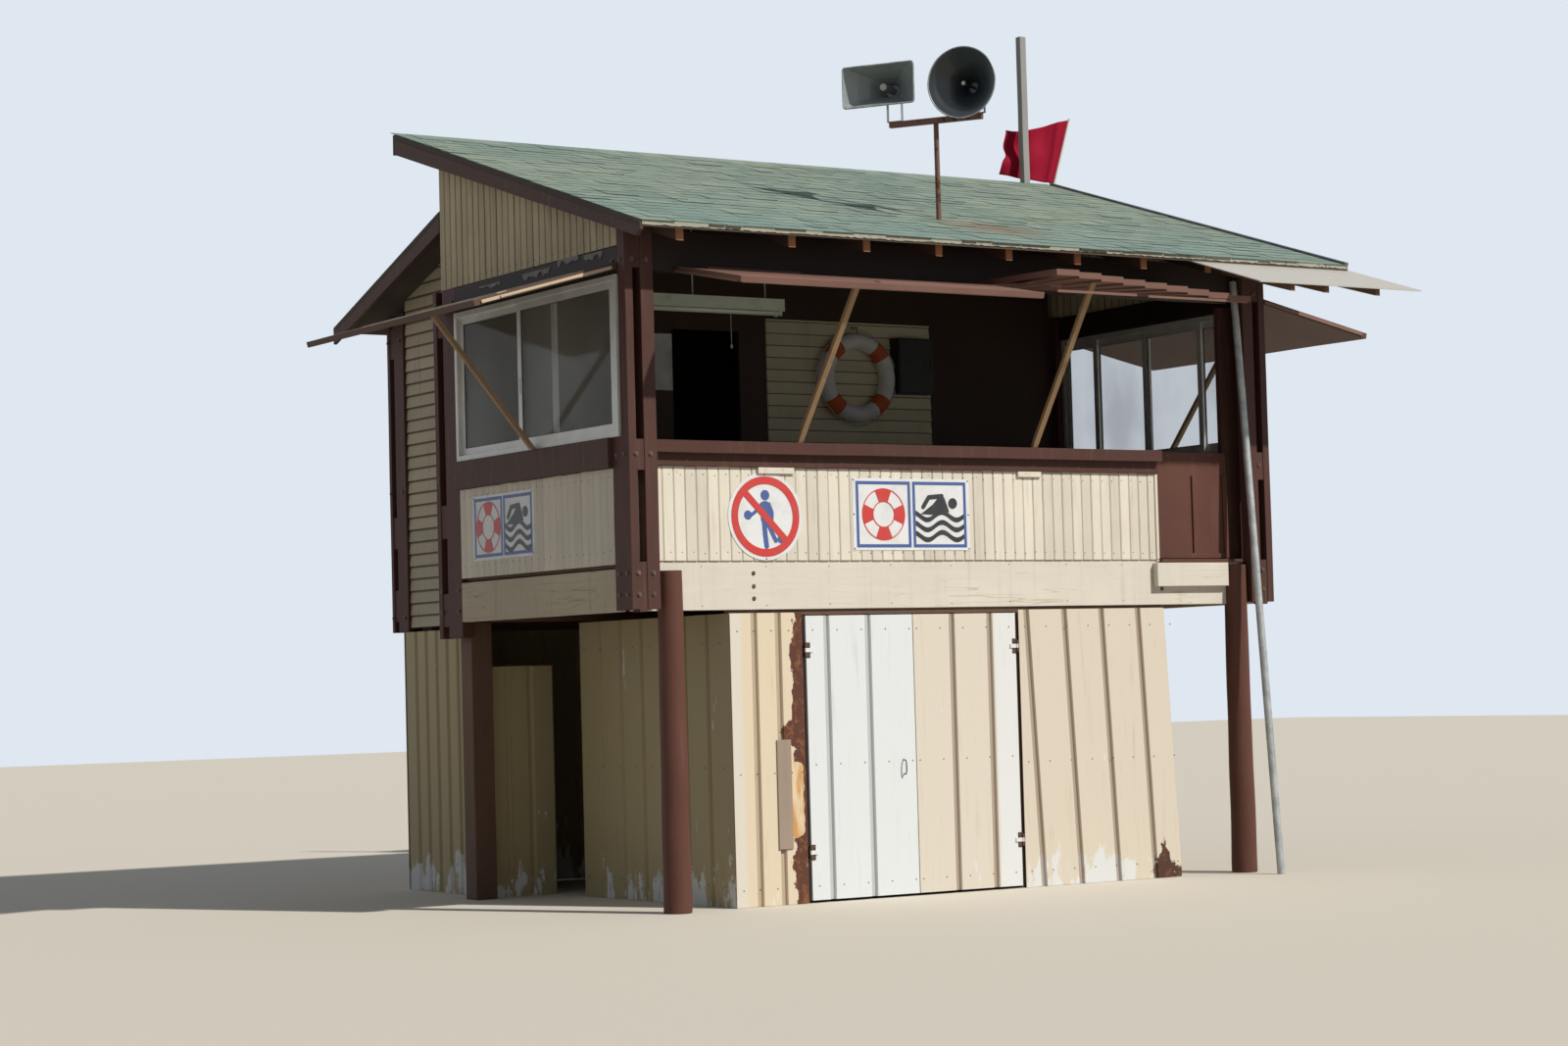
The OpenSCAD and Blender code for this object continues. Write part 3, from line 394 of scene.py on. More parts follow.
# Duller cream for faces turned to the side: painted shade
cream_side_shade = timber("cream paint, front to back", SHADED, CREAM_WOOD, SHADED_RUN, 0.18, 0.35, "y", depth=0.0025,
                    cracks=0.5)
side_claps = timber("side clapboards", SHADED, CREAM_WOOD, SHADED_RUN, 0.22, 0.45, "y", joints=lap_shade)
rear_claps = timber("rear clapboards", SHADED, CREAM_WOOD, SHADED_RUN, 0.22, 0.45, "x", joints=lap_shade)
room_paint = timber("room clapboards", (0.76, 0.71, 0.51), CREAM_WOOD, RUN, 0.10, 0.20, "x",
                    joints=(2, ROOM_FLOOR, LAP, 0.009, 0.002))
gable_paint = timber("gable boards", STAIN, STAIN_WOOD, STAIN_RUN, 0.35, 0.6, "z", 0.35)
gable_side = timber("gable boards, sides", STAIN, STAIN_WOOD, STAIN_RUN, 0.35, 0.6, "z", 0.35,
                    joints=(1, GABLE_FIRST, GABLE_PITCH, 0.009, 0.009))
old_timber = timber("old timber", (0.17, 0.10, 0.065), (0.25, 0.16, 0.10), SOOT, 0.5, 0.4, "y", 0.3)
store_timber = timber("store timber", (0.13, 0.075, 0.05), (0.25, 0.16, 0.10), SOOT, 0.4, 0.4, "z", 0.3)
raw_wood = timber("raw wood", (0.36, 0.235, 0.13), (0.50, 0.36, 0.23), (0.16, 0.10, 0.06), 0.6, 0.4, "z", 0.3)
# Near black: painted shade of the header under the eave
header_shade_paint = timber("shaded header paint", (0.026, 0.016, 0.013), (0.07, 0.045, 0.03), (0.02, 0.014, 0.01), 0.2, 0.3,
                      "x", 0.3)
# Near black: painted shade of the half-shaded inside
lining_dark_shade = timber("dark lining", (0.055, 0.032, 0.024), (0.10, 0.06, 0.04), (0.03, 0.02, 0.02), 0.1, 0.3, "z", 0.3)
mast_wood = timber("mast wood", (0.31, 0.305, 0.29), (0.24, 0.22, 0.20), (0.20, 0.19, 0.17), 0.5, 0.3, "z", 0.2)
staff_paint = timber("staff paint", (0.74, 0.72, 0.68), (0.40, 0.32, 0.22), (0.3, 0.28, 0.25), 0.2, 0.2, "z")
print("timber finishes so far:", len(bpy.data.materials) - 1)

# %% Flap and rafter timber
hatch_paint = timber("hatch top paint", (0.20, 0.105, 0.082), (0.32, 0.20, 0.145), (0.20, 0.11, 0.08), 0.45, 0.2,
                     "x", 0.3)
# The side flaps' paint is a darker copy of the top paint: painted shade
hatch_side_shade = timber("side hatch paint", (0.100, 0.055, 0.041), (0.20, 0.12, 0.08), (0.14, 0.08, 0.06), 0.45, 0.2,
                    "y", 0.3)
pale_edge = timber("pale edge wood", (0.58, 0.46, 0.33), (0.50, 0.36, 0.22), (0.24, 0.15, 0.09), 0.4, 0.3, "x", 0.2)
front_edge = timber("worn flap edge", (0.24, 0.135, 0.105), (0.36, 0.24, 0.17), (0.12, 0.07, 0.05), 0.4, 0.3,
                    "x", 0.25)
RAFTER_END = -0.418
rafter_wood = timber("rafter wood", (0.095, 0.060, 0.045), (0.17, 0.11, 0.07), (0.05, 0.03, 0.02), 0.4, 0.3, "y", 0.3,
                     tip=(1, RAFTER_END, (0.42, 0.20, 0.09)))
eave_paint = timber("bleached eave edge", (0.40, 0.385, 0.30), (0.20, 0.155, 0.105), (0.06, 0.05, 0.04), 0.62, 0.7,
                    "x", 0.3)
grey_plank = timber("grey plank", (0.36, 0.28, 0.22), (0.26, 0.19, 0.14), (0.12, 0.08, 0.06), 0.6, 0.3)
print("timber finishes:", len(bpy.data.materials) - 1)

# %% [markdown]
# ## Other finishes
# The rest of the tower is painted steel that has peeled and rusted, aluminium, galvanised pipe,
# dusty glass and a few plastics. Steel gets one group of its own: paint breaks off in patches
# over a brown primer, and rust grows out from the patches and up from the sand.

# %% Painted steel group
def build_steel_group():
    g, ins, outs = open_group(
        "painted steel",
        {"Vector": ("Vector", None), "Paint": ("Color", (0.8, 0.8, 0.75, 1)),
         "Primer": ("Color", (0.1, 0.04, 0.02, 1)), "Rust": ("Color", (0.28, 0.10, 0.03, 1)),
         "Peeling": ("Float", 0.3), "Foot": ("Float", 0.3),
         "Patch Size": ("Float", 3.0), "Foot Paint": ("Color", (0.74, 0.75, 0.74, 1))},
        {"Color": "Color", "Roughness": "Float", "Height": "Float"})
    height = g.add("ShaderNodeSeparateXYZ", {0: ins["Vector"]}).outputs[2]
    patches = g.add("ShaderNodeTexNoise", {"Vector": g.stretch(ins["Vector"], (1, 1, 0.6)), "Detail": 8.0,
                                           "Roughness": 0.68})
    g.tree.links.new(ins["Patch Size"], patches.inputs["Scale"])
    fine = g.noise(ins["Vector"], 60, 4, 0.7)
    foot = g.math("MULTIPLY", g.rise(g.math("MULTIPLY", height, -1.0), -0.50, -0.02), ins["Foot"])
    cover = g.math("ADD", patches.outputs[0], g.math("MULTIPLY", g.math("SUBTRACT", fine, 0.5), 0.10))
    ragged = g.noise(g.stretch(ins["Vector"], (1, 1, 0.35)), 7.0, 6, 0.7)
    broad = g.math("MULTIPLY", g.math("SUBTRACT", g.noise(ins["Vector"], 1.5, 2), 0.5), 0.9)
    bleached = g.rise(g.math("ADD", ragged, g.math("MULTIPLY", foot, g.math("ADD", 0.27, broad))), 0.66, 0.71)
    cover = g.math("ADD", cover, g.math("MULTIPLY", foot, 0.05))
    limit = g.math("SUBTRACT", 0.80, g.math("MULTIPLY", ins["Peeling"], 0.36))
    bare = g.rise(g.math("SUBTRACT", cover, limit), 0.0, 0.012)
    rusty = g.rise(g.math("SUBTRACT", cover, limit), -0.05, 0.14)
    stain = g.math("MULTIPLY", g.rise(g.noise(g.stretch(ins["Vector"], (9, 9, 0.7)), 1.9, 5, 0.62), 0.56, 0.80), 0.5)
    paint = g.mix(bleached, ins["Paint"], ins["Foot Paint"])
    coat = g.mix(stain, paint, g.mix(0.5, paint, ins["Rust"]))
    halo = g.mix(g.math("MULTIPLY", rusty, 0.30), coat, ins["Rust"])
    spots = g.math("MULTIPLY", g.rise(g.noise(ins["Vector"], 17, 5, 0.7), 0.50, 0.66), 0.55)
    under = g.mix(spots, ins["Primer"], ins["Rust"])
    g.tree.links.new(g.mix(bare, halo, under), outs["Color"])
    g.tree.links.new(g.math("ADD", 0.55, g.math("MULTIPLY", bare, 0.35)), outs["Roughness"])
    g.tree.links.new(g.math("SUBTRACT", g.math("MULTIPLY", fine, 0.25), bare), outs["Height"])
    return g.tree


steel_group = build_steel_group()
print("steel group nodes:", len(steel_group.nodes))

# %% [markdown]
# The store's sheet is folded, so its grooves are painted darker than its face: painted shade in
# the hollows, and dirt that rain never reaches. The right-hand sheet has lost the most paint low down at its corner.
# The same finish, with more peeling and finer patches, serves the rusty hinges and the loudspeakers' pole.

# %% Painted sheet
RUST, PRIMER = (0.27, 0.095, 0.030), (0.070, 0.030, 0.018)
# The groove colour stands for dirt and painted shade in the sheets' hollows
FACE, GROOVE_DIRT_AND_SHADE = 0.010, (0.20, 0.125, 0.075)


def painted_steel(name, paint, peeling, foot=0.3, size=3.0, primer=PRIMER, strip=None, groove=None, worst=None,
                  depth=0.0008):
    """Painted sheet. Strip is (x, colour) where the paint changes, groove is the colour of dirt and
    painted shade behind the front sheets' face, and worst is (x, z, reach) of a place where the paint has gone."""
    material, g, place = open_material(name)
    coat = g.add("ShaderNodeGroup", node_tree=steel_group)
    g.tree.links.new(place, coat.inputs["Vector"])
    x, y, z = g.add("ShaderNodeSeparateXYZ", {0: place}).outputs
    for label, colour in (("Paint", paint), ("Primer", primer), ("Rust", RUST)):
        coat.inputs[label].default_value = (*colour, 1)
    if strip:
        at, other = strip
        g.tree.links.new(g.mix(g.rise(x, at - 0.004, at + 0.004), paint, other), coat.inputs["Paint"])
    coat.inputs["Peeling"].default_value = peeling
    if worst:
        at_x, at_z, reach = worst
        across, up = (g.math("ABSOLUTE", g.math("SUBTRACT", at, middle)) for at, middle in ((x, at_x), (z, at_z)))
        far = g.math("ADD", across, up)
        near = g.rise(g.math("MULTIPLY", far, -1.0), -reach, 0.0)
        g.tree.links.new(g.math("ADD", peeling, g.math("MULTIPLY", near, 0.8)), coat.inputs["Peeling"])
    coat.inputs["Foot"].default_value = foot
    coat.inputs["Patch Size"].default_value = size
    colour = coat.outputs["Color"]
    if groove:
        # Grooves behind the face are darkened: dirt and painted shade
        colour = g.mix(g.math("MULTIPLY", g.rise(y, FACE + 0.004, FACE + 0.016), 0.62), colour, groove)
    finish_with(name, colour, coat.outputs["Roughness"], coat.outputs["Height"], depth, graph=g)
    return material


sheet_white = painted_steel("white sheet paint", (0.76, 0.79, 0.81), 0.16, 0.15, 3.2, groove=(0.36, 0.36, 0.35))
sheet_cream = painted_steel("cream sheet paint", (0.72, 0.655, 0.555), 0.16, 0.15, 3.2,
                            strip=(2.86, (0.77, 0.78, 0.78)), groove=GROOVE_DIRT_AND_SHADE)
sheet_right = painted_steel("cream sheet paint, right", (0.70, 0.62, 0.51), 0.14, 1.0, 3.0, groove=GROOVE_DIRT_AND_SHADE,
                            worst=(4.46, 0.05, 0.42))
# The store's side walls get a darker cream than the front: painted shade
sheet_wall_shade = painted_steel("wall sheet paint", (0.43, 0.35, 0.19), 0.20, 0.75, 2.4)
door_iron = painted_steel("rusty iron", (0.075, 0.036, 0.026), 0.60, 0.0, 14.0)
pole_rust = painted_steel("pole paint", (0.16, 0.065, 0.042), 0.70, 0.0, 12.0)
roof_grey = painted_steel("grey roof sheet", (0.47, 0.445, 0.40), 0.22, 0.0, 3.0)
print("materials after painted steel:", len(bpy.data.materials))

# %% [markdown]
# The panel left of the doors is the oldest. Its paint has gone towards the doors and in a band at
# half height, down to the primer, and one long patch has weathered to amber. The places come from
# the photograph, and noise makes their edges ragged.

# %% Old panel
def build_old_panel():
    """The panel left of the doors: cream at the left, peeled to its primer towards the doors."""
    material, g, place = open_material("old panel")
    coat = g.add("ShaderNodeGroup", node_tree=steel_group)
    g.tree.links.new(place, coat.inputs["Vector"])
    x, y, z = g.add("ShaderNodeSeparateXYZ", {0: place}).outputs

    def close_to(value, middle, outer, inner):
        away = g.math("ABSOLUTE", g.math("SUBTRACT", value, middle))
        return g.rise(g.math("MULTIPLY", away, -1.0), -outer, -inner)

    torn = g.math("MULTIPLY", g.rise(x, 0.92, 1.09), 1.05)
    band = g.math("MULTIPLY", close_to(z, 1.23, 0.12, 0.03), g.rise(x, 0.80, 0.95))
    amber = g.math("MULTIPLY", close_to(x, 1.04, 0.085, 0.03), close_to(z, 0.76, 0.34, 0.20))
    edge = g.math("MULTIPLY", g.math("SUBTRACT", g.noise(place, 11, 6, 0.7), 0.5), 1.5)
    amber = g.rise(g.math("ADD", amber, edge), 0.47, 0.53)
    peel = g.math("ADD", g.math("ADD", 0.16, torn), g.math("MULTIPLY", band, 0.75))
    g.tree.links.new(g.math("SUBTRACT", peel, g.math("MULTIPLY", amber, 1.2)), coat.inputs["Peeling"])
    streaks = g.rise(g.noise(g.stretch(place, (8, 8, 1)), 2.4, 5, 0.65), 0.44, 0.62)
    paint = g.mix(g.rise(x, 0.585, 0.600), (0.72, 0.67, 0.58), (0.74, 0.63, 0.47))
    amber_paint = g.mix(streaks, (0.62, 0.30, 0.09), (0.76, 0.62, 0.42))
    g.tree.links.new(g.mix(amber, paint, amber_paint), coat.inputs["Paint"])
    coat.inputs["Primer"].default_value = (0.105, 0.036, 0.022, 1)
    coat.inputs["Rust"].default_value = (0.36, 0.15, 0.045, 1)
    coat.inputs["Patch Size"].default_value = 3.4
    # Grooves behind the face are darkened: dirt and painted shade
    behind = g.math("MULTIPLY", g.rise(y, FACE + 0.004, FACE + 0.016), 0.5)
    colour = g.mix(behind, coat.outputs["Color"], GROOVE_DIRT_AND_SHADE)
    finish_with("old panel", colour, coat.outputs["Roughness"], coat.outputs["Height"], 0.0008, graph=g)
    return material


sheet_old = build_old_panel()
print("old panel nodes:", len(sheet_old.node_tree.nodes))

# %% [markdown]
# Bare metal tarnishes in clouds and rusts in its worst spots. Plastic, enamel and cloth go dull
# and dirty in clouds. One function each is enough, since these parts are small or far away.

# %% Metals and coats
def plain_metal(name, light, dark, metallic, roughness, scale=6.0, rust=0.0):
    """Bare or galvanised metal with cloudy tarnish, brushed lightly, and rust in the worst spots."""
    material, g, place = open_material(name)
    cloud = g.noise(place, scale, 5, 0.6)
    tone = g.mix(g.rise(cloud, 0.35, 0.65), dark, light)
    spots = g.math("MULTIPLY", g.rise(g.noise(place, scale * 3, 6, 0.7), 0.56, 0.66), rust)
    rough = g.math("ADD", roughness, g.math("MULTIPLY", g.math("SUBTRACT", cloud, 0.5), 0.3))
    finish_with(name, g.mix(spots, tone, RUST), rough, g.noise(place, 180, 2), 0.0002, metallic, graph=g)
    return material


def plain_coat(name, colour, roughness, wear=0.12, scale=9.0, dirt=(0.22, 0.18, 0.13), **fixed):
    """Plastic, enamel or cloth: one colour that has gone a little dull and dirty in clouds."""
    material, g, place = open_material(name)
    cloud = g.noise(place, scale, 5, 0.62)
    tone = g.mix(g.math("MULTIPLY", g.rise(cloud, 0.40, 0.72), wear), colour, dirt)
    rough = g.math("ADD", roughness, g.math("MULTIPLY", g.math("SUBTRACT", cloud, 0.5), 0.2))
    finish_with(name, tone, rough, g.noise(place, 90, 3), 0.0002, graph=g, **fixed)
    return material


aluminium = plain_metal("window aluminium", (0.68, 0.68, 0.64), (0.60, 0.60, 0.57), 0.25, 0.45, 5.0)
galvanised = plain_metal("galvanised pipe", (0.46, 0.48, 0.48), (0.32, 0.34, 0.35), 0.35, 0.50, 11.0, 0.35)
horn_light = plain_metal("light horn", (0.30, 0.33, 0.33), (0.22, 0.25, 0.25), 0.10, 0.45, 3.0, 0.08)
horn_dark = plain_metal("dark horn", (0.034, 0.040, 0.046), (0.026, 0.031, 0.036), 0.10, 0.30, 3.0, 0.0)
steel_bolt = plain_metal("weathered bolt", (0.16, 0.12, 0.10), (0.08, 0.055, 0.045), 0.5, 0.6, 40.0, 0.6)
rubber = plain_coat("black gasket", (0.030, 0.030, 0.030), 0.6, 0.2)
lamp_white = plain_coat("lamp enamel", (0.62, 0.70, 0.58), 0.4, 0.25)
# The tubes' own white, raised and tinted as painted glow
tube_glass_glow = plain_coat("tube glass", (0.78, 0.86, 0.72), 0.25, 0.1)
foam_white = plain_coat("lifebuoy foam", (0.88, 0.88, 0.87), 0.55, 0.12, 7.0)
band_orange = plain_coat("orange band", (0.68, 0.13, 0.03), 0.75, 0.25, 12.0)
rope = plain_coat("old rope", (0.62, 0.56, 0.44), 0.9, 0.3, 30.0)
board_white = plain_coat("board enamel", (0.72, 0.72, 0.70), 0.45, 0.3)
cabinet_grey = plain_coat("cabinet grey", (0.010, 0.012, 0.013), 0.6, 0.06)
sign_white = plain_coat("sign white", (0.80, 0.81, 0.82), 0.40, 0.18, 6.0)
sign_red = plain_coat("sign red", (0.62, 0.045, 0.040), 0.40, 0.15, 6.0)
sign_blue = plain_coat("sign blue", (0.060, 0.115, 0.330), 0.40, 0.15, 6.0)
sign_black = plain_coat("sign black", (0.022, 0.024, 0.030), 0.40, 0.10, 6.0)
felt = plain_coat("roof edge and boards", (0.060, 0.046, 0.036), 0.9, 0.4, 3.0, (0.13, 0.10, 0.07))
flag_red = plain_coat("flag cloth red", (0.325, 0.005, 0.028), 0.80, 0.15, 5.0, (0.20, 0.006, 0.018),
                      **{"Specular IOR Level": 0.15})
print("materials after metals and coats:", len(bpy.data.materials))

# %% [markdown]
# The window glass is thin and dusty. It lets the room show through its alpha, and the salt film
# makes it milky in soft runs.

# %% Glass
def build_glass():
    """Dusty window glass: mostly clear, milky where salt has dried in runs."""
    material, g, place = open_material("dusty glass")
    salt = g.noise(g.stretch(place, (1, 1, 0.6)), 1.4, 3, 0.5)
    haze = g.math("ADD", 0.19, g.math("MULTIPLY", g.rise(salt, 0.40, 0.75), 0.13))
    shader = finish_with("glass", g.mix(salt, (0.26, 0.27, 0.25), (0.40, 0.39, 0.33)), 0.06, graph=g)
    g.tree.links.new(haze, shader.inputs["Alpha"])
    return material


glass = build_glass()
print("materials in all:", len(bpy.data.materials))

# %% [markdown]
# ## Rounded timber from the solids
# Sawn timber never has knife edges. A copy of a solid is merged, its edges are bevelled a few
# millimetres, long faces are cut into short lengths and every point is nudged by smooth noise,
# so posts and planks look as if they had dried in the sun. The copy then stands for the solid.

# %% Mesh helpers
def link(name, mesh, material=None):
    piece = bpy.data.objects.new(name, mesh)
    scene.collection.objects.link(piece)
    if material is not None:
        mesh.materials.clear()
        mesh.materials.append(material)
    return piece


def mesh_piece(name, bm, material=None, smooth=False):
    """Makes a piece of a bmesh. With smooth, its four-sided faces are shaded smooth."""
    mesh = bpy.data.meshes.new(name)
    bm.to_mesh(mesh)
    bm.free()
    for face in mesh.polygons:
        face.use_smooth = smooth and len(face.vertices) == 4
    return link(name, mesh, material)


def skin(bm, rings, caps=True):
    """Faces from ring to ring, with a cap on the first and the last."""
    for one, two in zip(rings, rings[1:]):
        for i in range(len(one)):
            j = (i + 1) % len(one)
            bm.faces.new((one[i], one[j], two[j], two[i]))
    if caps:
        bm.faces.new(rings[0])
        bm.faces.new(rings[-1])


def settle(piece, body=CABIN, stands_for=()):
    """Attaches a finished piece to its body and hides the solids that it stands for."""
    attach(piece, body)
    if stands_for:
        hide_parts(*stands_for)
    return piece


def bake_modifiers(piece):
    """Turns the evaluated object into a plain mesh and drops its modifiers."""
    graph = bpy.context.evaluated_depsgraph_get()
    mesh = bpy.data.meshes.new_from_object(piece.evaluated_get(graph))
    piece.modifiers.clear()
    old, piece.data = piece.data, mesh
    bpy.data.meshes.remove(old)
    mesh.name = piece.name
    return piece


def cut_lengths(bm, step):
    """Cuts the mesh by planes a step apart along each axis that is longer than two steps."""
    lows = [min(v.co[i] for v in bm.verts) for i in range(3)]
    highs = [max(v.co[i] for v in bm.verts) for i in range(3)]
    for axis in range(3):
        count = int((highs[axis] - lows[axis]) / step)
        if count < 2:
            continue
        normal = Vector([float(i == axis) for i in range(3)])
        for k in range(1, count):
            at = lows[axis] + (highs[axis] - lows[axis]) * k / count
            geometry = bm.verts[:] + bm.edges[:] + bm.faces[:]
            bmesh.ops.bisect_plane(bm, geom=geometry, plane_co=normal * at, plane_no=normal)


def worn(point, amount, scale=2.3):
    """A smooth nudge by the point's place. The noise has no fixed seed, so runs differ slightly."""
    return noise.noise_vector(point * scale) * amount


def rounded(node, material, width=0.004, step=0.35, sway=0.0015, body=CABIN, other=None):
    """A softened, slightly uneven copy that stands for its solid. Other is (material, test of a face)."""
    mesh = nodes[node].data.copy()
    bm = bmesh.new()
    bm.from_mesh(mesh)
    bmesh.ops.remove_doubles(bm, verts=bm.verts, dist=0.00005)
    bmesh.ops.dissolve_limit(bm, angle_limit=0.01, verts=bm.verts, edges=bm.edges)
    sharp = [e for e in bm.edges if e.is_manifold and e.calc_face_angle(0) > 0.5]
    bmesh.ops.bevel(bm, geom=sharp, offset=width, segments=2, profile=0.6, affect="EDGES", clamp_overlap=True)
    if step:
        cut_lengths(bm, step)
    for v in bm.verts:
        if v.co.z > 0.01:
            v.co += worn(v.co, sway)
    bm.to_mesh(mesh)
    bm.free()
    for face in mesh.polygons:
        face.use_smooth = False
    piece = link(node + "_timber", mesh, material)
    if other:
        mesh.materials.append(other[0])
        for face in mesh.polygons:
            face.material_index = int(other[1](face))
    return settle(piece, body, [node])


print("solids to dress:", len(nodes))

# %% [markdown]
# The round front posts are debarked poles. Their solids are true cones, so the copy gets more
# rings and a wavier nudge. Plain planks and beams need less. Some solids carry two paints: the
# brown panel has a cream foot, the beam's ends are duller, and bare bearers hold the roof sheet.

# %% Posts, columns and beams
ROOF_SLOPE, SHEET_T, PANEL_PAINT_FOOT = 0.317, 0.012, 2.466
rounded("columns_front", brown_column_with_shade, 0.005, 0.3, 0.0025)
rounded("columns_side", brown_column_with_shade, 0.005, 0.4, 0.0025)
rounded("headers", header_shade_paint, 0.005, 0.5, 0.002)
rounded("counter_ledge", ledge_paint, 0.006, 0.35, 0.0035)
rounded("window_sills", brown_deep, 0.005, 0.4, 0.0015)
rounded("front_brown_panel", brown_level, 0.003, 0.25, 0.0015,
        other=(cream_level, lambda face: face.center.z < PANEL_PAINT_FOOT))
rounded("fascia_boards", brown_deep, 0.004, 0.4, 0.003)
# The beams' end faces take the duller cream as painted shade
rounded("edge_beams", cream_level, 0.005, 0.4, 0.0015,
        other=(cream_side_shade, lambda face: abs(face.normal.x) > 0.7))
rounded("posts_front", brown_upright, 0.006, 0.12, 0.006)
rounded("posts_inner", store_timber, 0.008, 0.3, 0.003)
rounded("rafters", rafter_wood, 0.005, 0.5, 0.002)
rounded("floor_joists", old_timber, 0.004, 0.8, 0.001)
rounded("store_frame", store_timber, 0.003, 0.5, 0.001)
rounded("hatch_props", raw_wood, 0.003, 0.15, 0.002)
rounded("hatch_front_left", hatch_paint, 0.003, 0.3, 0.003)
rounded("hatch_front_right", hatch_paint, 0.003, 0.3, 0.003)
rounded("hatch_side_left", hatch_side_shade, 0.003, 0.3, 0.003)
rounded("hatch_side_right", hatch_side_shade, 0.003, 0.3, 0.003)
rounded("mast", mast_wood, 0.004, 0.3, 0.003)
_, sheet_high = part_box("roof_sheet")
rounded("roof_sheet", roof_grey, 0.001, 0, 0.0, other=(
    old_timber, lambda face: face.center.z < sheet_high.z + (face.center.y - sheet_high.y) * ROOF_SLOPE - SHEET_T))

# %% [markdown]
# ## Rows of boards with Geometry Nodes
# Tongue and groove boards, clapboards and shingles are one shape repeated. One tree serves them
# all: it takes the points of a carrier mesh, reads a turn and a size stored on each point, puts
# one board there with a little random lean, and realizes the copies.

# %% Instancing tree
def build_copies_tree():
    tree = bpy.data.node_groups.new("copies on points", "GeometryNodeTree")
    face = tree.interface
    face.new_socket("Geometry", in_out="INPUT", socket_type="NodeSocketGeometry")
    face.new_socket("Shape", in_out="INPUT", socket_type="NodeSocketObject")
    face.new_socket("Lean", in_out="INPUT", socket_type="NodeSocketFloat")
    face.new_socket("Seed", in_out="INPUT", socket_type="NodeSocketInt")
    face.new_socket("Material", in_out="INPUT", socket_type="NodeSocketMaterial")
    face.new_socket("Geometry", in_out="OUTPUT", socket_type="NodeSocketGeometry")
    g = Graph(tree)
    ins = tree.nodes.new("NodeGroupInput").outputs
    shape = g.add("GeometryNodeObjectInfo", {"Object": ins["Shape"]})
    turn = g.add("GeometryNodeInputNamedAttribute", {"Name": "turn"}, data_type="FLOAT_VECTOR")
    size = g.add("GeometryNodeInputNamedAttribute", {"Name": "size"}, data_type="FLOAT_VECTOR")
    low = g.add("ShaderNodeVectorMath", {0: (-1, -1, -1)}, operation="SCALE")
    high = g.add("ShaderNodeVectorMath", {0: (1, 1, 1)}, operation="SCALE")
    for node in (low, high):
        tree.links.new(ins["Lean"], node.inputs["Scale"])
    lean = g.add("FunctionNodeRandomValue", {"Seed": ins["Seed"]}, data_type="FLOAT_VECTOR")
    tree.links.new(low.outputs[0], lean.inputs["Min"])
    tree.links.new(high.outputs[0], lean.inputs["Max"])
    turned = g.add("ShaderNodeVectorMath", {0: turn.outputs[0], 1: lean.outputs[0]}, operation="ADD")
    copies = g.add("GeometryNodeInstanceOnPoints", {"Points": ins["Geometry"], "Instance": shape.outputs["Geometry"],
                                                    "Rotation": turned.outputs[0], "Scale": size.outputs[0]})
    tones = g.add("FunctionNodeRandomValue", {2: -1.0, 3: 1.0, "Seed": ins["Seed"]}, data_type="FLOAT")
    named = g.add("GeometryNodeStoreNamedAttribute", {"Geometry": copies.outputs[0], "Name": "tone"},
                  data_type="FLOAT", domain="INSTANCE")
    tree.links.new(tones.outputs[1], named.inputs["Value"])
    real = g.add("GeometryNodeRealizeInstances", {"Geometry": named.outputs[0]})
    coat = g.add("GeometryNodeSetMaterial", {"Geometry": real.outputs[0], "Material": ins["Material"]})
    out = tree.nodes.new("NodeGroupOutput")
    tree.links.new(coat.outputs[0], out.inputs[0])
    return tree


copies_tree = build_copies_tree()
print("copies tree nodes:", len(copies_tree.nodes))

# %% [markdown]
# A row is a mesh of bare points. Each point stores how its copy is turned and how large it is.
# The copies are made real at once, so the piece is a plain mesh.

# %% Placing copies
def set_input(modifier, label, value):
    """Sets a modifier's input by its socket's identifier."""
    for item in modifier.node_group.interface.items_tree:
        if item.in_out == "INPUT" and item.name == label and item.socket_type != "NodeSocketGeometry":
            modifier[item.identifier] = value


def repeat(name, shape, places, material, lean=0.0, seed=1):
    """Copies of a shape at places, each a (point, turn, size)."""
    carrier = bpy.data.meshes.new(name)
    carrier.from_pydata([p[0] for p in places], [], [])
    for label, index in (("turn", 1), ("size", 2)):
        attribute = carrier.attributes.new(label, "FLOAT_VECTOR", "POINT")
        attribute.data.foreach_set("vector", [v for p in places for v in p[index]])
    piece = link(name, carrier)
    modifier = piece.modifiers.new("copies", "NODES")
    modifier.node_group = copies_tree
    set_input(modifier, "Shape", shape)
    set_input(modifier, "Lean", lean)
    set_input(modifier, "Seed", seed)
    set_input(modifier, "Material", material)
    piece.update_tag()
    bpy.context.view_layer.update()
    bake_modifiers(piece)
    for label in ("turn", "size"):
        if label in piece.data.attributes:
            piece.data.attributes.remove(piece.data.attributes[label])
    return piece


def drop(*shapes):
    """Removes shapes that were only copied from."""
    for shape in shapes:
        bpy.data.objects.remove(shape)


def extruded(name, outline, length, axis="z"):
    """A closed shape: an outline in two axes, drawn along Z or X from 0 to length."""
    bm = bmesh.new()
    order = {"z": lambda a, b, c: (a, b, c), "x": lambda a, b, c: (c, a, b)}[axis]
    ends = [[bm.verts.new(order(a, b, c)) for a, b in outline] for c in (0, length)]
    skin(bm, ends)
    bmesh.ops.recalc_face_normals(bm, faces=bm.faces)
    return mesh_piece(name, bm)


print("inputs of a row:", [item.name for item in copies_tree.interface.items_tree if item.in_out == "INPUT"])

# %% [markdown]
# ## Tongue and groove walls
# The parapet and the side walls are narrow upright boards with a V cut at each joint. A board
# is a flat bar with chamfered front edges. Its solid is 45 mm thick, so a board stands in front
# and a plain lining closes the inside.

# %% Board helpers
BOARD_T, CHAMFER, WALL_T, LINING_GAP = 0.022, 0.006, 0.045, 0.002


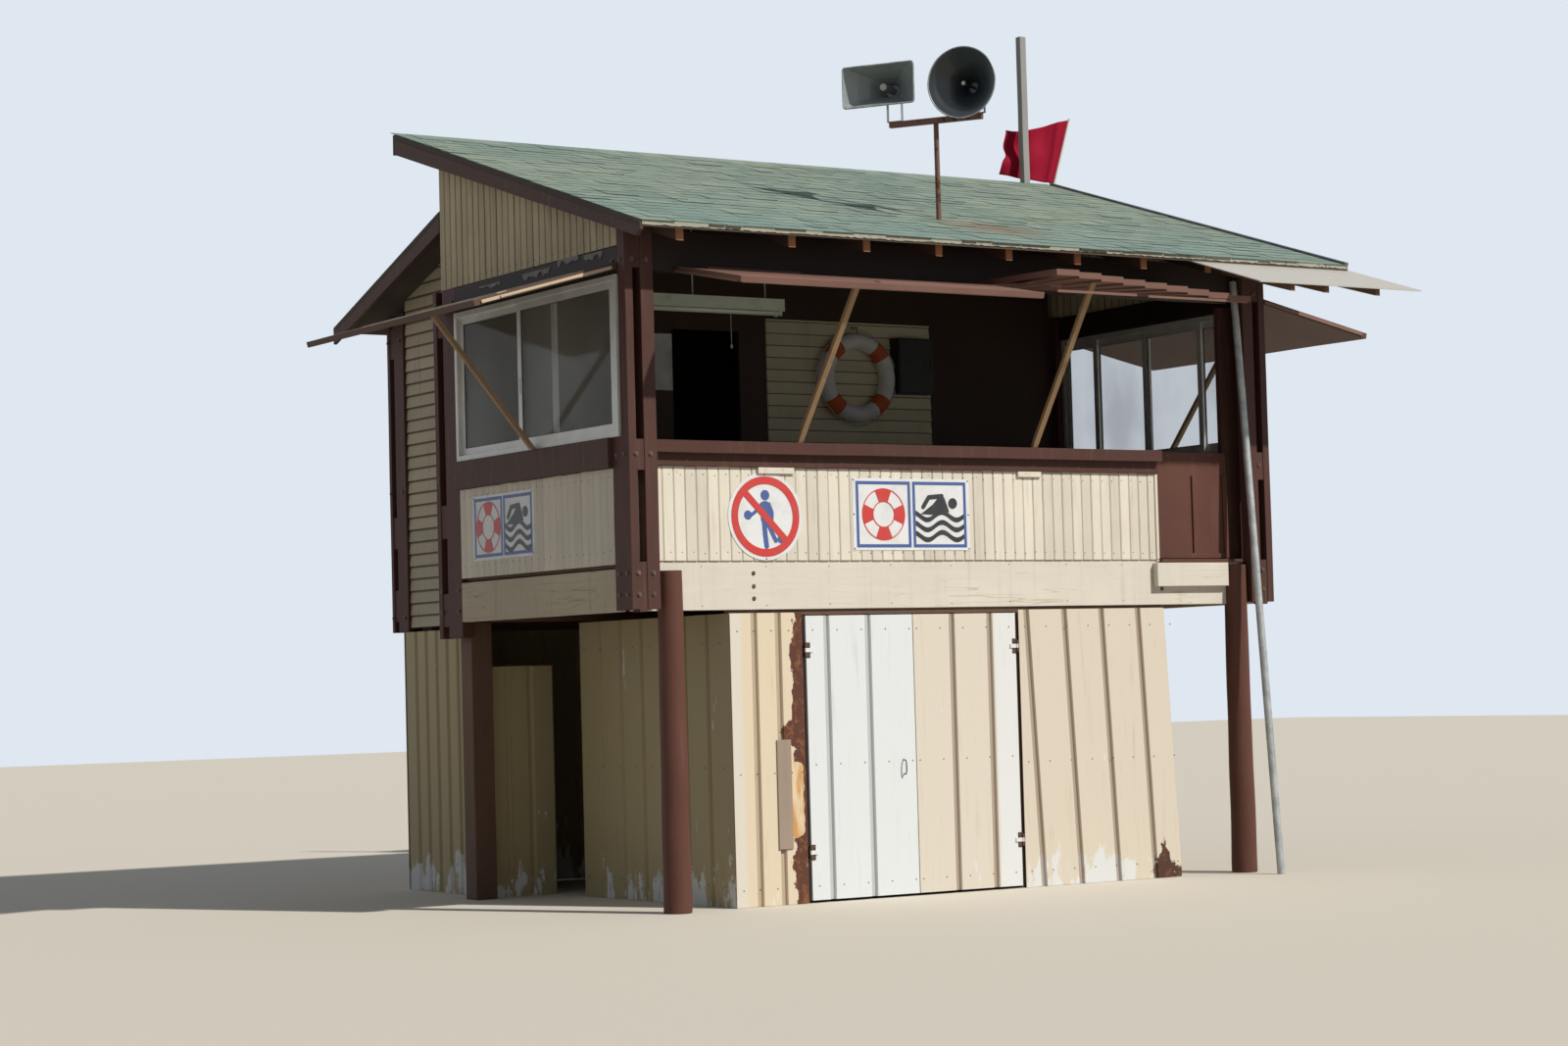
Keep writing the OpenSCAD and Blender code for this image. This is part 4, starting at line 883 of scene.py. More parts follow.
def board_shape(name, pitch=BOARD_PITCH, thick=BOARD_T, chamfer=CHAMFER, gap=0.0016):
    """An upright board, one unit high, its face towards -Y and its left edge at x = 0."""
    outline = [(gap, chamfer), (gap + chamfer, 0), (pitch - gap - chamfer, 0), (pitch - gap, chamfer),
               (pitch - gap, thick), (gap, thick)]
    return extruded(name, outline, 1.0)


def board_row(start, end, count, base, height, face, turn, rng):
    """Places for a row of boards between two plan points; each stands a hair in or out."""
    places = []
    for i in range(count):
        share = i / count
        point = Vector(start).lerp(Vector(end), share)
        point = Vector((point.x, point.y, base)) + Vector(face) * rng.uniform(-0.0012, 0.0012)
        places.append((point, (0, 0, turn), (1, 1, height + rng.uniform(-0.004, 0.0))))
    return places


def slab(bm, low, high):
    """A plain block added to a mesh."""
    made = bmesh.ops.create_cube(bm, size=1.0)["verts"]
    for v in made:
        v.co = Vector((low[i] + (v.co[i] + 0.5) * (high[i] - low[i]) for i in range(3)))
    return made


def blocks(name, boxes, material, width=0.0015, step=0.4, sway=0.001):
    """Several blocks as one piece, with small bevels and slightly uneven faces."""
    bm = bmesh.new()
    for box_low, box_high in boxes:
        slab(bm, box_low, box_high)
    bmesh.ops.bevel(bm, geom=bm.edges[:], offset=width, segments=1, affect="EDGES", clamp_overlap=True)
    if step:
        cut_lengths(bm, step)
    for v in bm.verts:
        v.co += worn(v.co, sway)
    return mesh_piece(name, bm, material)


print("board:", BOARD_PITCH, "m wide,", BOARD_T, "m thick")

# %% [markdown]
# The parapet runs along the front from column to column. Behind its boards the lining is painted
# dark as painted shade, as the inside of the room is in half shade.

# %% Parapet
rng = random.Random(7)
low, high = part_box("parapet_front")
count = round((high.x - low.x) / BOARD_PITCH)
pitch = (high.x - low.x) / count
shape = board_shape("board", pitch)
places = board_row((low.x, low.y), (high.x, low.y), count, low.z, high.z - low.z, (0, 1, 0), 0, rng)
parapet = repeat("parapet_boards", shape, places, cream_upright, 0.0012, 3)
drop(shape)
settle(parapet, stands_for=["parapet_front"])
lining = [((low.x, low.y + BOARD_T + LINING_GAP, low.z), (high.x, high.y, high.z))]
settle(blocks("parapet_lining", lining, lining_dark_shade))
print("parapet boards:", count)

# %% [markdown]
# The side walls have the same boards under the windows. The left row runs from back to front and
# the right one from front to back, so that both show their faces outwards.

# %% Side walls
low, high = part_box("side_walls")
left_x, right_x = low.x, high.x
wall_y0, wall_y1, wall_z0, wall_z1 = low.y, high.y, low.z, high.z
count = round((wall_y1 - wall_y0) / BOARD_PITCH)
shape = board_shape("board", (wall_y1 - wall_y0) / count)
places = board_row((left_x, wall_y1), (left_x, wall_y0), count, wall_z0, wall_z1 - wall_z0,
                   (1, 0, 0), -math.pi / 2, rng)
places += board_row((right_x, wall_y0), (right_x, wall_y1), count, wall_z0, wall_z1 - wall_z0,
                    (1, 0, 0), math.pi / 2, rng)
sides = repeat("side_boards", shape, places, cream_upright, 0.0012, 5)
drop(shape)
settle(sides, stands_for=["side_walls"])
lining = [((left_x + BOARD_T + LINING_GAP, wall_y0, wall_z0), (left_x + WALL_T, wall_y1, wall_z1)),
          ((right_x - WALL_T, wall_y0, wall_z0), (right_x - BOARD_T - LINING_GAP, wall_y1, wall_z1))]
settle(blocks("side_lining", lining, lining_dark_shade))
print("boards per side:", count)

# %% [markdown]
# ## Gable and upper walls
# The same boards close the triangle under the roof, with tops cut to its slope. They are made
# tall enough and then cut by the roof's plane, which caps them cleanly.

# %% Gables
def cut_above(piece, point, normal):
    """Removes what lies on the normal's side of a plane and closes the cut."""
    bm = bmesh.new()
    bm.from_mesh(piece.data)
    geometry = bm.verts[:] + bm.edges[:] + bm.faces[:]
    bmesh.ops.bisect_plane(bm, geom=geometry, plane_co=point, plane_no=normal, clear_outer=True)
    rim = [e for e in bm.edges if e.is_boundary]
    bmesh.ops.holes_fill(bm, edges=rim, sides=0)
    bmesh.ops.recalc_face_normals(bm, faces=bm.faces)
    bm.to_mesh(piece.data)
    bm.free()


low, high = gable_low, gable_high
shape = board_shape("board", GABLE_PITCH, chamfer=0.008, gap=0.0028)
places = board_row((low.x, high.y), (low.x, low.y), GABLE_COUNT, low.z, high.z - low.z, (1, 0, 0), -math.pi / 2, rng)
places += board_row((high.x, low.y), (high.x, high.y), GABLE_COUNT, low.z, high.z - low.z, (1, 0, 0), math.pi / 2, rng)
gables = repeat("gable_boards", shape, places, gable_side, 0.001, 8)
drop(shape)
roof_normal = Vector((0, -ROOF_SLOPE, 1)).normalized()
cut_above(gables, Vector((0, high.y, high.z)), roof_normal)
settle(gables, stands_for=["gables"])

low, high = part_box("upper_wall")
count = round((high.x - low.x) / BOARD_PITCH)
shape = board_shape("board", (high.x - low.x) / count)
places = board_row((high.x, high.y), (low.x, high.y), count, low.z, high.z - low.z, (0, 1, 0), math.pi, rng)
upper = repeat("upper_wall_boards", shape, places, gable_paint, 0.001, 9)
drop(shape)
settle(upper, stands_for=["upper_wall"])
print("gable and upper boards:", len(gables.data.polygons) + len(upper.data.polygons), "faces")

# %% [markdown]
# ## The front roof in shingles
# Felt shingles with green mineral chips, faded towards turquoise and stained brown near the
# pole. The copies are real strips that overlap, because the eave edge and the torn patches show
# their thickness. Each tab has its own tone, stored by the tree as an attribute.

# %% Shingle finish
def build_shingle_material(name, first, pitch):
    """First and pitch give the rows' butts along Y, where a thin painted shadow, broken along the row, draws each row.
    """
    material, g, place = open_material(name)
    tone = g.add("ShaderNodeAttribute", attribute_name="tone").outputs["Fac"]
    cloud = g.noise(place, 0.8, 5, 0.6)
    chips = g.noise(place, 160, 3, 0.7)
    down = g.add("ShaderNodeSeparateXYZ", {0: place}).outputs[1]
    turns = g.math("DIVIDE", g.math("SUBTRACT", down, first), pitch)
    share = g.math("SUBTRACT", turns, g.math("FLOOR", turns))
    broken = g.rise(g.noise(g.stretch(place, (1, 9, 9)), 2.2, 3, 0.6), 0.30, 0.55)
    # Painted shadow under each row's butt
    butt_shadow = g.math("MULTIPLY", g.rise(share, 0.86, 0.94), g.math("ADD", 0.35, g.math("MULTIPLY", broken, 0.45)))
    green = g.mix(g.rise(cloud, 0.35, 0.66), (0.195, 0.258, 0.218), (0.250, 0.302, 0.238))
    faded = g.math("MULTIPLY", g.rise(g.math("MULTIPLY", down, -1.0), -0.9, 0.3), 0.6)
    green = g.mix(faded, green, (0.190, 0.295, 0.275))
    green = g.mix(g.math("MULTIPLY", g.rise(tone, 0.2, 1.0), 0.5), green, (0.31, 0.36, 0.28))
    green = g.mix(g.math("MULTIPLY", g.rise(tone, -0.3, -1.0), 0.5), green, (0.135, 0.190, 0.155))
    dashes = g.rise(g.noise(g.stretch(place, (1, 12, 12)), 3.0, 3, 0.6), 0.64, 0.70)
    green = g.mix(g.math("MULTIPLY", dashes, 0.5), green, (0.075, 0.092, 0.078))
    green = g.mix(g.math("MULTIPLY", g.rise(chips, 0.42, 0.62), 0.22), green, (0.08, 0.11, 0.09))
    lichen = g.math("MULTIPLY", g.rise(g.noise(place, 3.1, 8, 0.72), 0.56, 0.70), 0.35)
    green = g.mix(lichen, green, (0.40, 0.38, 0.25))
    # Rust has run down from the speaker pole's foot
    offset = g.add("ShaderNodeVectorMath", {0: place, 1: (3.10, 0.22, 5.1)}, operation="SUBTRACT").outputs[0]
    far = g.add("ShaderNodeVectorMath", {0: g.stretch(offset, (0.9, 1.3, 0.5))}, operation="LENGTH").outputs["Value"]
    rusty = g.math("MULTIPLY", g.rise(g.math("MULTIPLY", far, -1.0), -0.62, -0.05), g.rise(cloud, 0.25, 0.6))
    green = g.mix(g.math("MULTIPLY", rusty, 0.75), green, (0.23, 0.125, 0.060))
    green = g.mix(butt_shadow, green, (0.050, 0.066, 0.060))
    finish_with("shingles", green, 0.93, chips, 0.0015, graph=g)
    return material


# %% [markdown]
# A tab is a wedge: its butt stands on the row below and its head lies on the boards. Rows shift
# by half a tab, a few tabs are cut in two, some have lifted, and the first row is ragged.

# %% Shingle rows
EXPOSURE, TAB, SHINGLE = 0.1515, 0.275, 0.30
BUTT_GAP, VERGE = 0.012, 0.004


def shingle_shape(name):
    """One tab, a unit wide: its butt stands on the row below and its head lies on the boards."""
    return extruded(name, [(0, 0.002), (0, 0.0075), (SHINGLE, 0.0040), (SHINGLE, 0.0005)], 1.0, "x")


def shingle_slope(name, low_x, high_x, butt, head, height_at, turn, seed):
    """Rows of tabs from the eave (butt) to the ridge (head), with a ragged first row."""
    rng = random.Random(seed)
    rise = height_at(head) - height_at(butt)
    run = abs(head - butt)
    lean = math.atan2(rise, run)
    rows = int(math.hypot(run, rise) / EXPOSURE)
    way = 1 if head > butt else -1
    places = []
    for row in range(rows):
        along = row * EXPOSURE * math.cos(lean)
        shift = (row % 2) * TAB / 2 + rng.uniform(-0.01, 0.01)
        x = low_x - shift
        while x < high_x:
            ragged = rng.uniform(-0.014, 0.004) if row == 0 else rng.uniform(-0.003, 0.002)
            y = butt + way * (along + ragged)
            wide = TAB * rng.choice((1, 1, 1, 1, 0.5))
            left, right = max(x, low_x), min(x + wide, high_x)
            if right - left > 0.02:
                start = left if way == 1 else right
                lift = rng.choice((0, 0, 0, 0, 0.004, 0.009, 0.016))
                point = Vector((start, y, height_at(y) + 0.0005 + SHINGLE * math.sin(lift)))
                joint = rng.uniform(0.004, 0.009)
                places.append((point, (lean - lift, 0, turn), (right - left - joint, 1, 1)))
            x += wide
    shape = shingle_shape("tab")
    paint = build_shingle_material(name + " paint", butt, way * EXPOSURE * math.cos(lean))
    piece = repeat(name, shape, places, paint, 0.002, seed)
    drop(shape)
    return piece


low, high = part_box("roof_front")
EAVE, RIDGE, FRONT_TOP = low.y, high.y, high.z
front = shingle_slope("front_shingles", low.x + VERGE, high.x - VERGE, EAVE - BUTT_GAP, RIDGE - 0.05,
                      lambda y: FRONT_TOP - (RIDGE - y) * ROOF_SLOPE, 0, 21)
settle(front)
low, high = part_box("roof_back")
REAR_EAVE, REAR_TOP, REAR_SLOPE = high.y, high.z, 0.354
rear_head = low.y
rear = shingle_slope("rear_shingles", low.x + VERGE, high.x - VERGE, REAR_EAVE + BUTT_GAP, rear_head + 0.02,
                     lambda y: REAR_TOP - (y - rear_head) * REAR_SLOPE, math.pi, 22)
settle(rear)
print("shingles:", len(front.data.polygons) // 6 + len(rear.data.polygons) // 6)

# %% [markdown]
# ## Clapboards
# The rear bay and part of the room's back wall are level boards, each lapped over the one
# below. A board is a thin wedge, thick at its lower edge. The tops under the sloping roof are
# cut by the roof's plane, as a carpenter would scribe them.

# %% Clapboard rows
CLAP_T, CLAP_THIN, OVERLAP = 0.017, 0.005, 0.016


def clap_shape(name):
    """A level board, a unit long towards +X, that faces -Y and stands on z = 0."""
    return extruded(name, [(-CLAP_T, 0), (0, 0), (0, LAP + OVERLAP), (-CLAP_THIN, LAP + OVERLAP)], 1.0, "x")


def clap_wall(name, start, length, base, top, turn, material, seed):
    """Rows of clapboards on a wall line. The wall's face is the boards' thick lower edge."""
    rng = random.Random(seed)
    rows = math.ceil((top - base) / LAP)
    back = Vector((-math.sin(turn), math.cos(turn), 0)) * CLAP_T
    places = [(Vector((*start, base + row * LAP)) + back + Vector((0, 0, rng.uniform(-0.002, 0.002))),
               (0, 0, turn), (length, 1, 1)) for row in range(rows)]
    shape = clap_shape("clap")
    piece = repeat(name, shape, places, material, 0.0006, seed)
    drop(shape)
    cut_above(piece, Vector((0, 0, top)), Vector((0, 0, 1)))
    return piece


print("a clapboard shows", LAP, "m of its", round(LAP + OVERLAP, 3), "m")

# %% [markdown]
# Three walls of the rear bay are lined, then the room's back wall beside its inner doorway.
# The bay's roof line trims the boards of all three.

# %% Rear bay and room
low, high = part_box("rear_walls")
BAY_START, BAY_END, BACK_LEFT, BACK_RIGHT = 2.757, 4.139, 0.075, 5.145
BOARD_BACK, BAY_SILL, LINING_TOP = 0.019, 2.085, 5.3
side_length = BAY_END - BAY_START
under_roof = Vector((0, rear_head, REAR_TOP - 0.0425)), Vector((0, REAR_SLOPE, 1)).normalized()
lined = [clap_wall("rear_left_claps", (low.x, BAY_END), side_length, low.z, high.z, -math.pi / 2, side_claps, 31),
         clap_wall("rear_right_claps", (high.x, BAY_START), side_length, low.z, high.z, math.pi / 2, side_claps, 32),
         clap_wall("rear_back_claps", (BACK_RIGHT, high.y), BACK_RIGHT - BACK_LEFT, REAR_FOOT, high.z, math.pi,
                   rear_claps, 33)]
for piece in lined:
    cut_above(piece, *under_roof)
    settle(piece, stands_for=["rear_walls"])
lining = [((low.x + BOARD_BACK, low.y, low.z), (low.x + WALL_T, BAY_END, LINING_TOP)),
          ((high.x - WALL_T, low.y, low.z), (high.x - BOARD_BACK, BAY_END, LINING_TOP)),
          ((BACK_LEFT, high.y - WALL_T, BAY_SILL), (BACK_RIGHT, high.y - BOARD_BACK, LINING_TOP))]
lining = blocks("rear_lining", lining, lining_dark_shade)
cut_above(lining, *under_roof)
settle(lining)

low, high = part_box("partition_wall")
ROOM_CLAP_START, ROOM_CLAP_LENGTH, ROOM_CLAP_TOP = 2.535, 1.65, 4.605
inner = clap_wall("room_claps", (ROOM_CLAP_START, low.y - CLAP_T), ROOM_CLAP_LENGTH, ROOM_FLOOR, ROOM_CLAP_TOP, 0,
                  room_paint, 34)
settle(inner)
print("clapboards:", sum(len(p.data.polygons) for p in lined) // 6)

# %% [markdown]
# ## Windows
# Extruded aluminium frames with soft edges. Every pane sits in a thin black gasket, the sliding
# pane has a pull, and the glass has the milky film that salt spray leaves.

# %% Windows
rounded("window_frames", aluminium, 0.002, 0, 0.0)
GASKET = 0.006
LEFT_OUT, LEFT_IN, RIGHT_OUT, RIGHT_IN = (-0.371, -0.365), (-0.347, -0.341), (5.585, 5.591), (5.561, 5.567)
PANES = [(*LEFT_OUT, 0.10, 1.435), (*LEFT_IN, 1.005, 2.41), (*RIGHT_OUT, 0.10, 0.66), (*RIGHT_IN, 0.71, 1.36),
         (*RIGHT_OUT, 1.41, 2.025), (*RIGHT_IN, 2.075, 2.41)]
low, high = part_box("window_glass")
strips = []
for x0, x1, y0, y1 in PANES:
    x0, x1 = x0 - 0.003, x1 + 0.003
    for part in (((y0, low.z), (y0 + GASKET, high.z)), ((y1 - GASKET, low.z), (y1, high.z)),
                 ((y0 + GASKET, low.z), (y1 - GASKET, low.z + GASKET)),
                 ((y0 + GASKET, high.z - GASKET), (y1 - GASKET, high.z))):
        strips.append(((x0, *part[0]), (x1, *part[1])))
settle(blocks("window_gaskets", strips, rubber, 0.0008, 0, 0.0))
pulls = [((x0, y, 3.80), (x0 + 0.008, y + 0.016, 3.92)) for x0, y in ((-0.386, 1.455), (5.598, 2.045))]
settle(blocks("window_pulls", pulls, aluminium, 0.003, 0, 0.0))
print("panes:", len(PANES), "gasket strips:", len(strips))

# %% [markdown]
# ## Small shapes
# Bolts, nails, straps and pictograms all come from a few helpers. First come the outlines, drawn
# flat in two directions, and the two walls that a drawing can be placed on.

# %% Outlines
def circle(cx, cy, radius, count=32, start=0.0, end=2 * math.pi):
    """Points round a centre, counterclockwise. Part of a circle also has its last point."""
    whole = abs(end - start) > 6.28
    steps = count if whole else count + 1
    span = (end - start) / count
    angles = [start + span * i for i in range(steps)]
    return [(cx + radius * math.cos(a), cy + radius * math.sin(a)) for a in angles]


def arc_band(cx, cy, inner, outer, start, end, count=16):
    """The outline of a piece of ring."""
    return circle(cx, cy, outer, count, start, end) + circle(cx, cy, inner, count, start, end)[::-1]


def stroke(points, width):
    """A thick line: one bar for each part and a round at each point."""
    shapes = [circle(x, y, width / 2, 16) for x, y in points]
    for (ax, ay), (bx, by) in zip(points, points[1:]):
        length = math.hypot(bx - ax, by - ay)
        nx, ny = -(by - ay) / length * width / 2, (bx - ax) / length * width / 2
        shapes.append([(ax + nx, ay + ny), (ax - nx, ay - ny), (bx - nx, by - ny), (bx + nx, by + ny)])
    return shapes


def front_at(x, y, z):
    """Places a drawing (right, up, out) on a wall that faces the front."""
    return lambda u, v, d: Vector((x + u, y - d, z + v))


def left_at(x, y, z):
    """Places a drawing on a wall that faces left."""
    return lambda u, v, d: Vector((x - d, y - u, z + v))


print("points of a quarter band:", len(arc_band(0, 0, 1, 2, 0, math.pi / 2)))

# %% [markdown]
# An outline is pressed to a thickness, a tube follows a path, and a finished piece can be swung
# about a hinge line. The swing moves the mesh, so that the object itself stays unturned.

# %% Pressed shapes, tubes and swings
def pressed(name, outlines, place, near, far, material):
    """Outlines with a thickness between two distances from the wall, each a hair above the last."""
    bm = bmesh.new()
    for index, outline in enumerate(outlines):
        top = far + 0.00002 * index
        skin(bm, [[bm.verts.new(place(u, v, d)) for u, v in outline] for d in (near, top)])
    bmesh.ops.recalc_face_normals(bm, faces=bm.faces)
    bmesh.ops.triangulate(bm, faces=[f for f in bm.faces if len(f.verts) > 4])
    return mesh_piece(name, bm, material)


def tube(name, paths, radius, material, sides=10, closed=False, smooth=True):
    """Round bar or rope along each path of points, with capped ends unless it closes on itself."""
    bm = bmesh.new()
    for path in paths:
        points = [Vector(p) for p in path]
        count = len(points)
        rings, side = [], None
        for i, point in enumerate(points):
            ahead = points[(i + 1) % count] if closed or i < count - 1 else point
            behind = points[i - 1] if closed or i > 0 else point
            along = (ahead - behind).normalized()
            if side is None:
                side = along.orthogonal().normalized()
            side = (side - along * side.dot(along)).normalized()
            up = along.cross(side)
            rings.append([bm.verts.new(point + (side * math.cos(a) + up * math.sin(a)) * radius)
                          for a in (2 * math.pi * k / sides for k in range(sides))])
        skin(bm, rings + rings[:1] if closed else rings, caps=not closed)
    bmesh.ops.recalc_face_normals(bm, faces=bm.faces)
    return mesh_piece(name, bm, material, smooth)


def swing(piece, pivot, axis, degrees):
    """Turns a finished piece's mesh about a pivot, so the object itself stays unturned."""
    pivot = Vector(pivot)
    piece.data.transform(Matrix.Translation(pivot) @ Matrix.Rotation(math.radians(degrees), 4, axis)
                         @ Matrix.Translation(-pivot))
    return piece


# %% [markdown]
# A coach bolt has a hex head on a round washer. A nail or screw is a low dome. Both face the
# front, and a turn about the upright axis aims them at the sides.

# %% Bolt and screw shapes
WASHER_T = 0.003
FRONT, LEFT, RIGHT = (0, 0, 0), (0, 0, -math.pi / 2), (0, 0, math.pi / 2)
LEFT_FACE, RIGHT_FACE = -0.365, 5.585


def hex_bolt(name, across=0.030, head=0.012):
    """A hex head on a round washer, facing -Y, its seat at the origin."""
    bm = bmesh.new()
    washer, hexagon = (across * 0.85, 0.0, -WASHER_T, 16), (across / 1.73, -WASHER_T, -WASHER_T - head, 6)
    for radius, near, far, count in (washer, hexagon):
        skin(bm, [[bm.verts.new((u, d, v)) for u, v in circle(0, 0, radius, count)] for d in (near, far)])
    bmesh.ops.recalc_face_normals(bm, faces=bm.faces)
    return mesh_piece(name, bm)


def screw_head(name, radius=0.006):
    """A low domed head facing -Y."""
    bm = bmesh.new()
    profile = ((radius, 0.001), (radius, -0.0012), (radius * 0.6, -0.0026))
    skin(bm, [[bm.verts.new((u, d, v)) for u, v in circle(0, 0, r, 8)] for r, d in profile])
    bmesh.ops.recalc_face_normals(bm, faces=bm.faces)
    return mesh_piece(name, bm)


def fixings(name, shape, spots, material, body=CABIN, seed=1):
    """Bolts or screws at (point, facing) spots, one tree for all of them."""
    piece = repeat(name, shape, [(Vector(p), way, (1, 1, 1)) for p, way in spots], material, 0.0, seed)
    drop(shape)
    return settle(piece, body)


print("side walls' faces:", LEFT_FACE, RIGHT_FACE)

# %% [markdown]
# ## Bolts, screws and nails
# Coach bolts hold the beams and the planked columns, and their washers have bled rust. Two rows
# of nails hold the upright boards. They are small, but they give the walls their scale.

# %% Bolts, screws and nails
BEAM_FACE, LEDGE_FACE, COLUMN_FACE = 0.014, -0.08, -0.1
beam_rows = (0.715, (2.215, 2.304, 2.398)), (4.52, (2.26, 2.37))
beam_spots = [((x, BEAM_FACE, z), FRONT) for x, heights in beam_rows for z in heights]
fixings("beam_bolts", hex_bolt("beam_bolt", 0.019, 0.008), beam_spots, steel_bolt)
front_heights, side_heights = (2.25, 2.40, 3.24, 4.62), (2.22, 2.38, 3.25, 4.62)
bolt_spots = [((x, COLUMN_FACE, z), FRONT) for x in (-0.31, -0.19, 5.47) for z in front_heights]
bolt_spots += [((LEFT_FACE, y, z), LEFT) for y in (-0.04, 0.07) for z in front_heights]
bolt_spots += [((LEFT_FACE, y, z), LEFT) for y in (2.56, 2.84) for z in side_heights]
bolt_spots += [((RIGHT_FACE, y, z), RIGHT) for y in (-0.04, 0.07, 2.56, 2.84) for z in side_heights]
bolt_spots += [((x, y, z), way) for x, way in ((-0.02, LEFT), (5.24, RIGHT)) for y in (4.20, 4.41)
               for z in (2.22, 3.25, 4.5)]
fixings("coach_bolts", hex_bolt("bolt", 0.022, 0.009), bolt_spots, steel_bolt)

nail_rng = random.Random(5)


def nail_rows(start, end, step, heights, way):
    """Nails along plan points start to end at each height, with a carpenter's small errors."""
    start, end = Vector(start), Vector(end)
    count = int((end - start).length / step)
    return [((*start.lerp(end, (i + 0.5) / count), z + nail_rng.uniform(-0.006, 0.006)), way)
            for z in heights for i in range(count)]


nails = nail_rows((-0.32, 0.0), (4.47, 0.0), BOARD_PITCH, (2.545, 3.105), FRONT)
nails += nail_rows((LEFT_FACE, 0.14), (LEFT_FACE, 2.49), BOARD_PITCH, (2.56, 3.09), LEFT)
nails += nail_rows((RIGHT_FACE, 0.14), (RIGHT_FACE, 2.49), BOARD_PITCH, (2.56, 3.09), RIGHT)
nails += nail_rows((LEFT_FACE, 0.3), (LEFT_FACE, 2.7), BOARD_PITCH, (4.775,), LEFT)
nails += nail_rows((-0.1, LEDGE_FACE), (5.2, LEDGE_FACE), 0.42, (3.20, 3.31), FRONT)
nails += nail_rows((0.0, BEAM_FACE), (4.4, BEAM_FACE), 0.55, (2.17, 2.45), FRONT)
fixings("nail_heads", screw_head("nail", 0.0045), nails, steel_bolt)
print("bolts:", len(beam_spots) + len(bolt_spots), "nails:", len(nails))

# %% [markdown]
# ## Trim on the front wall
# Short cream blocks under the ledge, a white end trim, battens inside the brown panel and the
# cream board that laps over the end of the floor beam.

# %% Front trim
trim = [((0.76, -0.022, 3.118), (1.07, 0.0, 3.164)), ((3.11, -0.022, 3.122), (3.335, 0.0, 3.164)),
        ((4.462, -0.012, 2.492), (4.489, 0.0, 3.164)), ((-0.322, -0.010, 2.492), (-0.30, 0.0, 3.164))]
settle(blocks("front_trim", trim, cream_upright, 0.003, 0.2, 0.0015))
lath = [((4.492, 0.030, 2.50), (4.52, 0.045, 3.16)), ((4.88, 0.030, 2.50), (4.905, 0.045, 3.16)),
        ((5.20, 0.030, 2.50), (5.243, 0.045, 3.16)), ((4.52, 0.026, 2.50), (5.20, 0.045, 2.54))]
settle(blocks("panel_laths", lath, brown_upright, 0.003, 0.2, 0.0015))
print("trim pieces:", len(trim), "laths:", len(lath))

# %% [markdown]
# ## Torn flashing
# A strip of grey felt was once nailed over the hinge line of the side flap. Only ragged scraps
# are left. Each is a thin sheet with a torn lower edge. A pale board closes the eave.

# %% Flashing
def torn_strip(start, end, top, depth, seed, ragged=0.75):
    """An outline with a straight top and a lower edge that is ragged by a share of its depth."""
    rng = random.Random(seed)
    count = max(4, int((end - start) / 0.03))
    edge = [(start + (end - start) * i / count, top - depth * rng.uniform(1.0 - ragged, 1.0))
            for i in range(count + 1)]
    return [(start, top), *edge, (end, top)]


scraps = [torn_strip(-1.40, -0.98, 4.690, 0.060, 1), torn_strip(-0.86, -0.55, 4.725, 0.050, 2),
          torn_strip(-0.47, -0.20, 4.712, 0.065, 3), torn_strip(-2.10, -1.75, 4.680, 0.035, 4)]
flashing = plain_coat("torn felt", (0.30, 0.29, 0.27), 0.85, 0.7, 14.0)
scrap = pressed("flashing_scraps", scraps, left_at(LEFT_FACE, 0.0, 0.0), 0.0015, 0.004, flashing)
settle(scrap)
eave_z = FRONT_TOP - (RIDGE - EAVE) * ROOF_SLOPE
eave = [torn_strip(-0.45, 1.9, 0.0, 0.034, 5, 0.25), torn_strip(1.9, 4.3, 0.0, 0.031, 6, 0.3),
        torn_strip(4.3, 6.12, 0.0, 0.033, 7, 0.3)]
settle(pressed("eave_edge", eave, front_at(0.0, EAVE, eave_z + 0.002), 0.001, 0.006, eave_paint))
print("scraps:", len(scraps), "eave at", round(eave_z, 3), "m")

# %% [markdown]
# A metal strip stands along the right-hand end of the front roof. Its lit top and dark side draw
# the roof's long sloping edge.

# %% Rake strip
RAKE_X, RAKE_W = 6.135, 0.036
rake_side = [(EAVE - 0.01, eave_z), (RIDGE, FRONT_TOP), (RIDGE, FRONT_TOP + 0.028), (EAVE - 0.01, eave_z + 0.024)]
rake = extruded("rake_strip", rake_side, RAKE_W, "x")
rake.data.transform(Matrix.Translation((RAKE_X - RAKE_W, 0, 0)))
rake.data.materials.append(plain_metal("rake metal", (0.17, 0.17, 0.18), (0.09, 0.09, 0.10), 0.2, 0.6, 7.0, 0.5))
settle(rake)
print("rake strip:", round(math.hypot(RIDGE - EAVE, FRONT_TOP - eave_z), 2), "m long")

# %% [markdown]
# ## Edges of the flaps
# Each flap is boards on a lighter frame, and the frame shows along the edges where the paint
# has gone. The strips are made level and then swung by the flap's own angle about its hinge.

# %% Flap edges
HINGE_Z = 4.6


def flap_strips(name, boxes, pivot, axis, degrees, material, sway=0.002):
    """Strips drawn on a level flap, then swung up or down with it."""
    return settle(swing(blocks(name, boxes, material, 0.002, 0.25, sway), pivot, axis, degrees))


